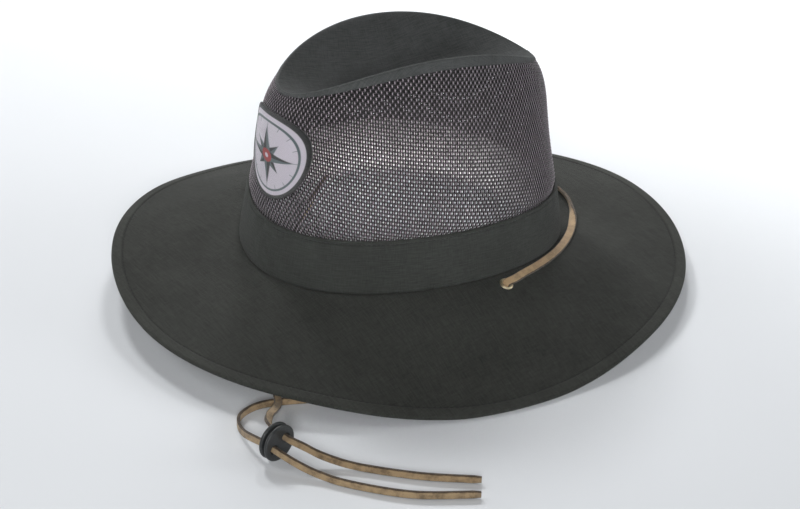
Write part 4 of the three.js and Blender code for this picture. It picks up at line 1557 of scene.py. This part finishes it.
laceLook = {
    "constants": {"Specular IOR Level": 0.3, "Sheen Weight": 0.2},
    "suede": {"Colour": (0.42, 0.302, 0.172, 1), "Dark Colour": (0.045, 0.028, 0.016, 1), "Blotches": 0.55},
    "cutDark": 0.8,
    "bump": 0.00025,
}
topSuede = {**laceLook["suede"], "Colour": (0.5, 0.35, 0.195, 1), "Blotches": 0.3}  # paler than the tails


def makeLaceMaterial(name, look):
    material, tree, shader = newMaterial(name, look["constants"])
    edge = calc(tree, "MULTIPLY", markOn(tree, "cutEdge"), look["cutDark"])
    values = {"Vector": uvPlace(tree, "cloth"), "Edge": edge, **look["suede"]}
    dress(tree, shader, placeGroup(tree, fibreGroup, values), look["bump"])
    return material


laceMaterial = makeLaceMaterial("suedeLace", laceLook)
topLaceMaterial = makeLaceMaterial("suedeLaceTop", {**laceLook, "suede": topSuede})


def wideUpright(path, twist):
    # on edge along the table, and twisted to lie across the hat where the lace climbs; twist holds route
    # point numbers and the degrees that the wide side is turned down from upright there
    along = unit(np.gradient(path, axis=0))
    steep = smoothStep(*laceForm["climb"], np.abs(along[:, 2:]))
    upright = mix(np.array([0.0, 0.0, 1.0]), np.array([1.0, 0.0, 0.0]), steep)
    at, degrees = np.array(twist).T
    turned = np.radians(np.interp(np.arange(len(path)) / laceForm["perSpan"], at, degrees))[:, None]
    return upright * np.cos(turned) + unit(np.cross(along, upright)) * np.sin(turned)


def layFreeLace(name, route, twist, node):
    path = smoothPath(route, laceForm["perSpan"])
    piece, length = makeRibbon(name, path, wideUpright(path, twist), laceForm)
    finish(piece, laceMaterial, "leather", node)
    print(name, "length", round(length), "mm")


def layTopLace(form):
    # its flat side follows the cloth, it leans up behind the crown, and it bends down into both eyelets
    table = np.array(topLoop)
    angle = np.radians(table[:, 0])
    over = brimPoint(angle, table[:, 1])
    over[:, 2] += table[:, 2]
    outWay = unit(brimPoint(angle, table[:, 1] + 1) - brimPoint(angle, table[:, 1] - 1))
    ends = []
    for side, outHere in ((1, outWay[0]), (-1, outWay[-1])):
        centre, along, _, up = eyeletFrame(side)
        entry = centre - along * side * form["entry"] + outHere * form["entryOut"]
        ends.append((entry - up * form["entryDeep"], entry + up * form["entryHigh"]))
    route = np.concatenate([ends[0], over, ends[1][::-1]])
    path = smoothPath(route, form["perSpan"])
    outWay = np.concatenate([outWay[:1], outWay[:1], outWay, outWay[-1:], outWay[-1:]])
    at = np.arange(len(path)) / form["perSpan"]
    wideWay = sampleAlong(at, np.arange(len(route)), outWay)
    turn = np.interp(at, np.arange(2, len(route) - 2), table[:, 0])
    lean = (smoothStep(*form["leanFrom"], turn) * smoothStep(*form["leanTo"][::-1], turn))[:, None]
    wideWay = wideWay * np.where(turn > form["flipTurn"], -1, 1)[:, None]
    wideWay = mix(wideWay, np.array(form["leanWay"]), lean)
    piece, length = makeRibbon("laceOverBrim", path, wideWay, form)
    finish(piece, topLaceMaterial, "leather", "lace_top")
    print("laceOverBrim length", round(length), "mm")


# Slide

slideForm = {
    "centre": (128.8, -173.5, 10.9),
    "turn": 11.5,
    "roll": 26,
    "radius": 10.7,
    "groove": 8.0,
    "thickness": 6,
    "flange": 2.2,
    "dish": 0.55,
    "faceStart": 0.4,
    "holeRadius": 2.55,
    "holeFlare": 0.55,
    "flarePower": 12,  # the higher, the nearer to its ends a hole widens
    "holeSpread": 4.7,
    "cutPast": 0.5,  # the cutter's lids lie this far outside the faces
    "sharpOver": 40,  # degrees
    "columns": 120,
}


def latheGrid(profile, columns):  # a profile of (radius, height), turned about Z
    turn = around(columns)
    ring = np.stack([np.cos(turn), np.sin(turn), 0 * turn], axis=-1)
    return profile[:, :1, None] * ring[None] + profile[:, 1:, None] * np.array([0, 0, 1.0])


def cutHole(piece, side, form):  # a tube, wider at both ends, is taken out of the slide
    half = form["thickness"] / 2
    past = form["cutPast"]
    reach = np.linspace(-1, 1, 25)
    flare = form["holeRadius"] + form["holeFlare"] * np.abs(reach) ** form["flarePower"]
    middle = np.array([side * form["holeSpread"], 0, 0])
    tube = latheGrid(np.stack([flare, reach * (half + 0.01)], -1), 48) + middle
    lids = np.concatenate([tube[:1] - [0, 0, past], tube, tube[-1:] + [0, 0, past]])
    lidAt = np.array([0, 0, half + past])
    cutter = closedGrid("holeCutter", lids, poles=[middle - lidAt, middle + lidAt])
    cut = piece.modifiers.new("hole", "BOOLEAN")
    cut.operation = "DIFFERENCE"
    cut.solver = "EXACT"
    cut.object = cutter
    bpy.context.view_layer.update()
    made = bpy.data.meshes.new_from_object(piece.evaluated_get(bpy.context.evaluated_depsgraph_get()))
    piece.modifiers.clear()
    piece.data = made
    bpy.data.objects.remove(cutter)


def makeSlide(form):
    # the button's profile: a dished face, round flanges and a groove between them, with two holes cut out
    half = form["thickness"] / 2
    soft = form["flange"] / 2
    groove = form["groove"]
    rim = form["radius"] - soft
    face = np.linspace(form["faceStart"], rim, 14)
    faceUp = half - form["dish"] * np.cos(face / rim * math.pi / 2)
    bend = np.linspace(math.pi / 2, -math.pi / 2, 12)[1:]
    flange = np.stack([rim + soft * np.cos(bend), half - soft + soft * np.sin(bend)], -1)
    grooveTop = half - form["flange"]
    grooveSide = [(groove + 0.25, grooveTop - 0.1), (groove, grooveTop - 0.5), (groove, 0.0)]
    upper = np.concatenate([np.stack([face, faceUp], -1), flange, grooveSide])
    lower = upper[:-1][::-1] * [1, -1]
    points = latheGrid(np.concatenate([upper, lower]), form["columns"])
    poles = [[0, 0, half - form["dish"]], [0, 0, form["dish"] - half]]
    piece = closedGrid("cordSlide", points, poles=poles)
    for side in (1, -1):
        cutHole(piece, side, form)
    place = Matrix.Translation(Vector(form["centre"]) * mm)
    for degrees, axis in ((form["turn"], "Z"), (-90, "Z"), (form["roll"], "Y"), (90, "X")):
        place = place @ Matrix.Rotation(math.radians(degrees), 4, axis)
    piece.data.transform(place)
    piece.data.set_sharp_from_angle(angle=math.radians(form["sharpOver"]))
    finish(piece, mouldedMaterial, "moulded", "cord_slide")
    return piece


mouldedLook = {
    "constants": {"Specular IOR Level": 0.5},
    "grain": {
        "Colour": (0.022, 0.024, 0.025, 1),
        "Worn Colour": (0.048, 0.051, 0.053, 1),
        "Smooth": 0.38,
        "Rough": 0.55,
        "Grain": 1800.0,
    },
    "bump": 0.00008,
}
mouldedMaterial = makeGrainMaterial("mouldedSlide", mouldedLook)
slide = makeSlide(slideForm)
layFreeLace("laceFreeLeft", leftRoute, leftTwist, "lace_left")
layFreeLace("laceFreeRight", rightRoute, rightTwist, "lace_right")
layTopLace({**laceForm, "width": laceForm["topWidth"]})
print("stage: lace and slide")


# Floor and light

stageLook = {
    "floorSize": 6.0,
    "floorDrop": 0.0004,
    "floorColour": (0.73, 0.755, 0.785, 1),
    "floorRoughness": 0.75,
    "world": 0.04,
    "worldColour": (1, 1, 1, 1),
}

lampLook = {"target": (0, 0, 0.05), "spread": 180}  # what a lamp has where it names nothing else
lamps = [
    {"name": "behindHigh", "place": (-1.02, 0.76, 1.32), "size": 0.35, "power": 9.4},
    {"name": "behindLeft", "place": (-1.26, 0.14, 1.32), "size": 0.35, "power": 13.2},
    {"name": "frontLow", "place": (1.31, -0.97, 0.81), "size": 0.6, "power": 15.5},
    {"name": "leftLow", "place": (-1.29, -1.22, 0.36), "size": 0.6, "power": 6.0},
    {"name": "leftSoft", "place": (-0.82, -1.11, 1.21), "size": 0.8, "power": 5.2},
    {"name": "rightLow", "place": (1.01, 1.36, 0.67), "size": 0.8, "power": 6.2},
    {"name": "hatFill", "place": (0.85, -0.6, 1.0), "target": (0.05, -0.04, 0.055), "size": 0.1,
     "spread": 13, "power": 0.032},
    {"name": "farTable", "place": (-0.85, 0.62, 0.55), "target": (-0.5, 0.38, 0), "size": 0.5,
     "spread": 80, "power": 1.4},
    {"name": "farTableRight", "place": (0.3, 1.0, 0.5), "target": (0.2, 0.75, 0), "size": 0.4,
     "spread": 70, "power": 2.4},
    {"name": "farTableMiddle", "place": (-0.28, 0.52, 0.45), "target": (-0.27, 0.5, 0), "size": 0.3,
     "spread": 64, "power": 0.45},
    {"name": "insideLeft", "place": (0.03, -0.035, 0.085), "target": (-0.09, 0.025, 0.03), "size": 0.05,
     "height": 0.01, "spread": 46, "power": 0.037},
    {"name": "insideRight", "place": (0.04, -0.02, 0.085), "target": (-0.045, 0.09, 0.034), "size": 0.05,
     "height": 0.01, "spread": 46, "power": 0.04},
    {"name": "insideFloor", "place": (0, 0, 0.1), "target": (-0.035, 0.027, 0), "size": 0.04,
     "spread": 70, "power": 0.004},
]


def makeFloor(look):
    half = look["floorSize"] / 2
    low = -look["floorDrop"]
    mesh = bpy.data.meshes.new("floor")
    corners = [(-half, -half, low), (half, -half, low), (half, half, low), (-half, half, low)]
    mesh.from_pydata(corners, [], [(0, 1, 2, 3)])
    floor = bpy.data.objects.new("floor", mesh)
    bpy.context.scene.collection.objects.link(floor)
    constants = {"Base Color": look["floorColour"], "Roughness": look["floorRoughness"]}
    mesh.materials.append(newMaterial("paleFloor", constants)[0])


def makeLamp(lamp):
    data = bpy.data.lights.new(lamp["name"], "AREA")
    data.energy = lamp["power"]
    data.shape = "ELLIPSE"
    data.size = lamp["size"]
    data.size_y = lamp.get("height", lamp["size"])
    data.spread = math.radians(lamp["spread"])
    light = bpy.data.objects.new(lamp["name"], data)
    light.visible_camera = False
    bpy.context.scene.collection.objects.link(light)
    aim = Vector(lamp["target"]) - Vector(lamp["place"])
    turned = aim.to_track_quat("-Z", "Y").to_matrix().to_4x4()
    light.matrix_world = Matrix.Translation(lamp["place"]) @ turned


def makeWorld(look):
    world = bpy.data.worlds.new("studio")
    world.use_nodes = True
    background = world.node_tree.nodes["Background"]
    background.inputs["Color"].default_value = look["worldColour"]
    background.inputs["Strength"].default_value = look["world"]
    bpy.context.scene.world = world


makeFloor(stageLook)
for lamp in lamps:
    makeLamp({**lampLook, **lamp})
makeWorld(stageLook)
bpy.context.scene.view_settings.view_transform = "Standard"
print("stage: floor and light")
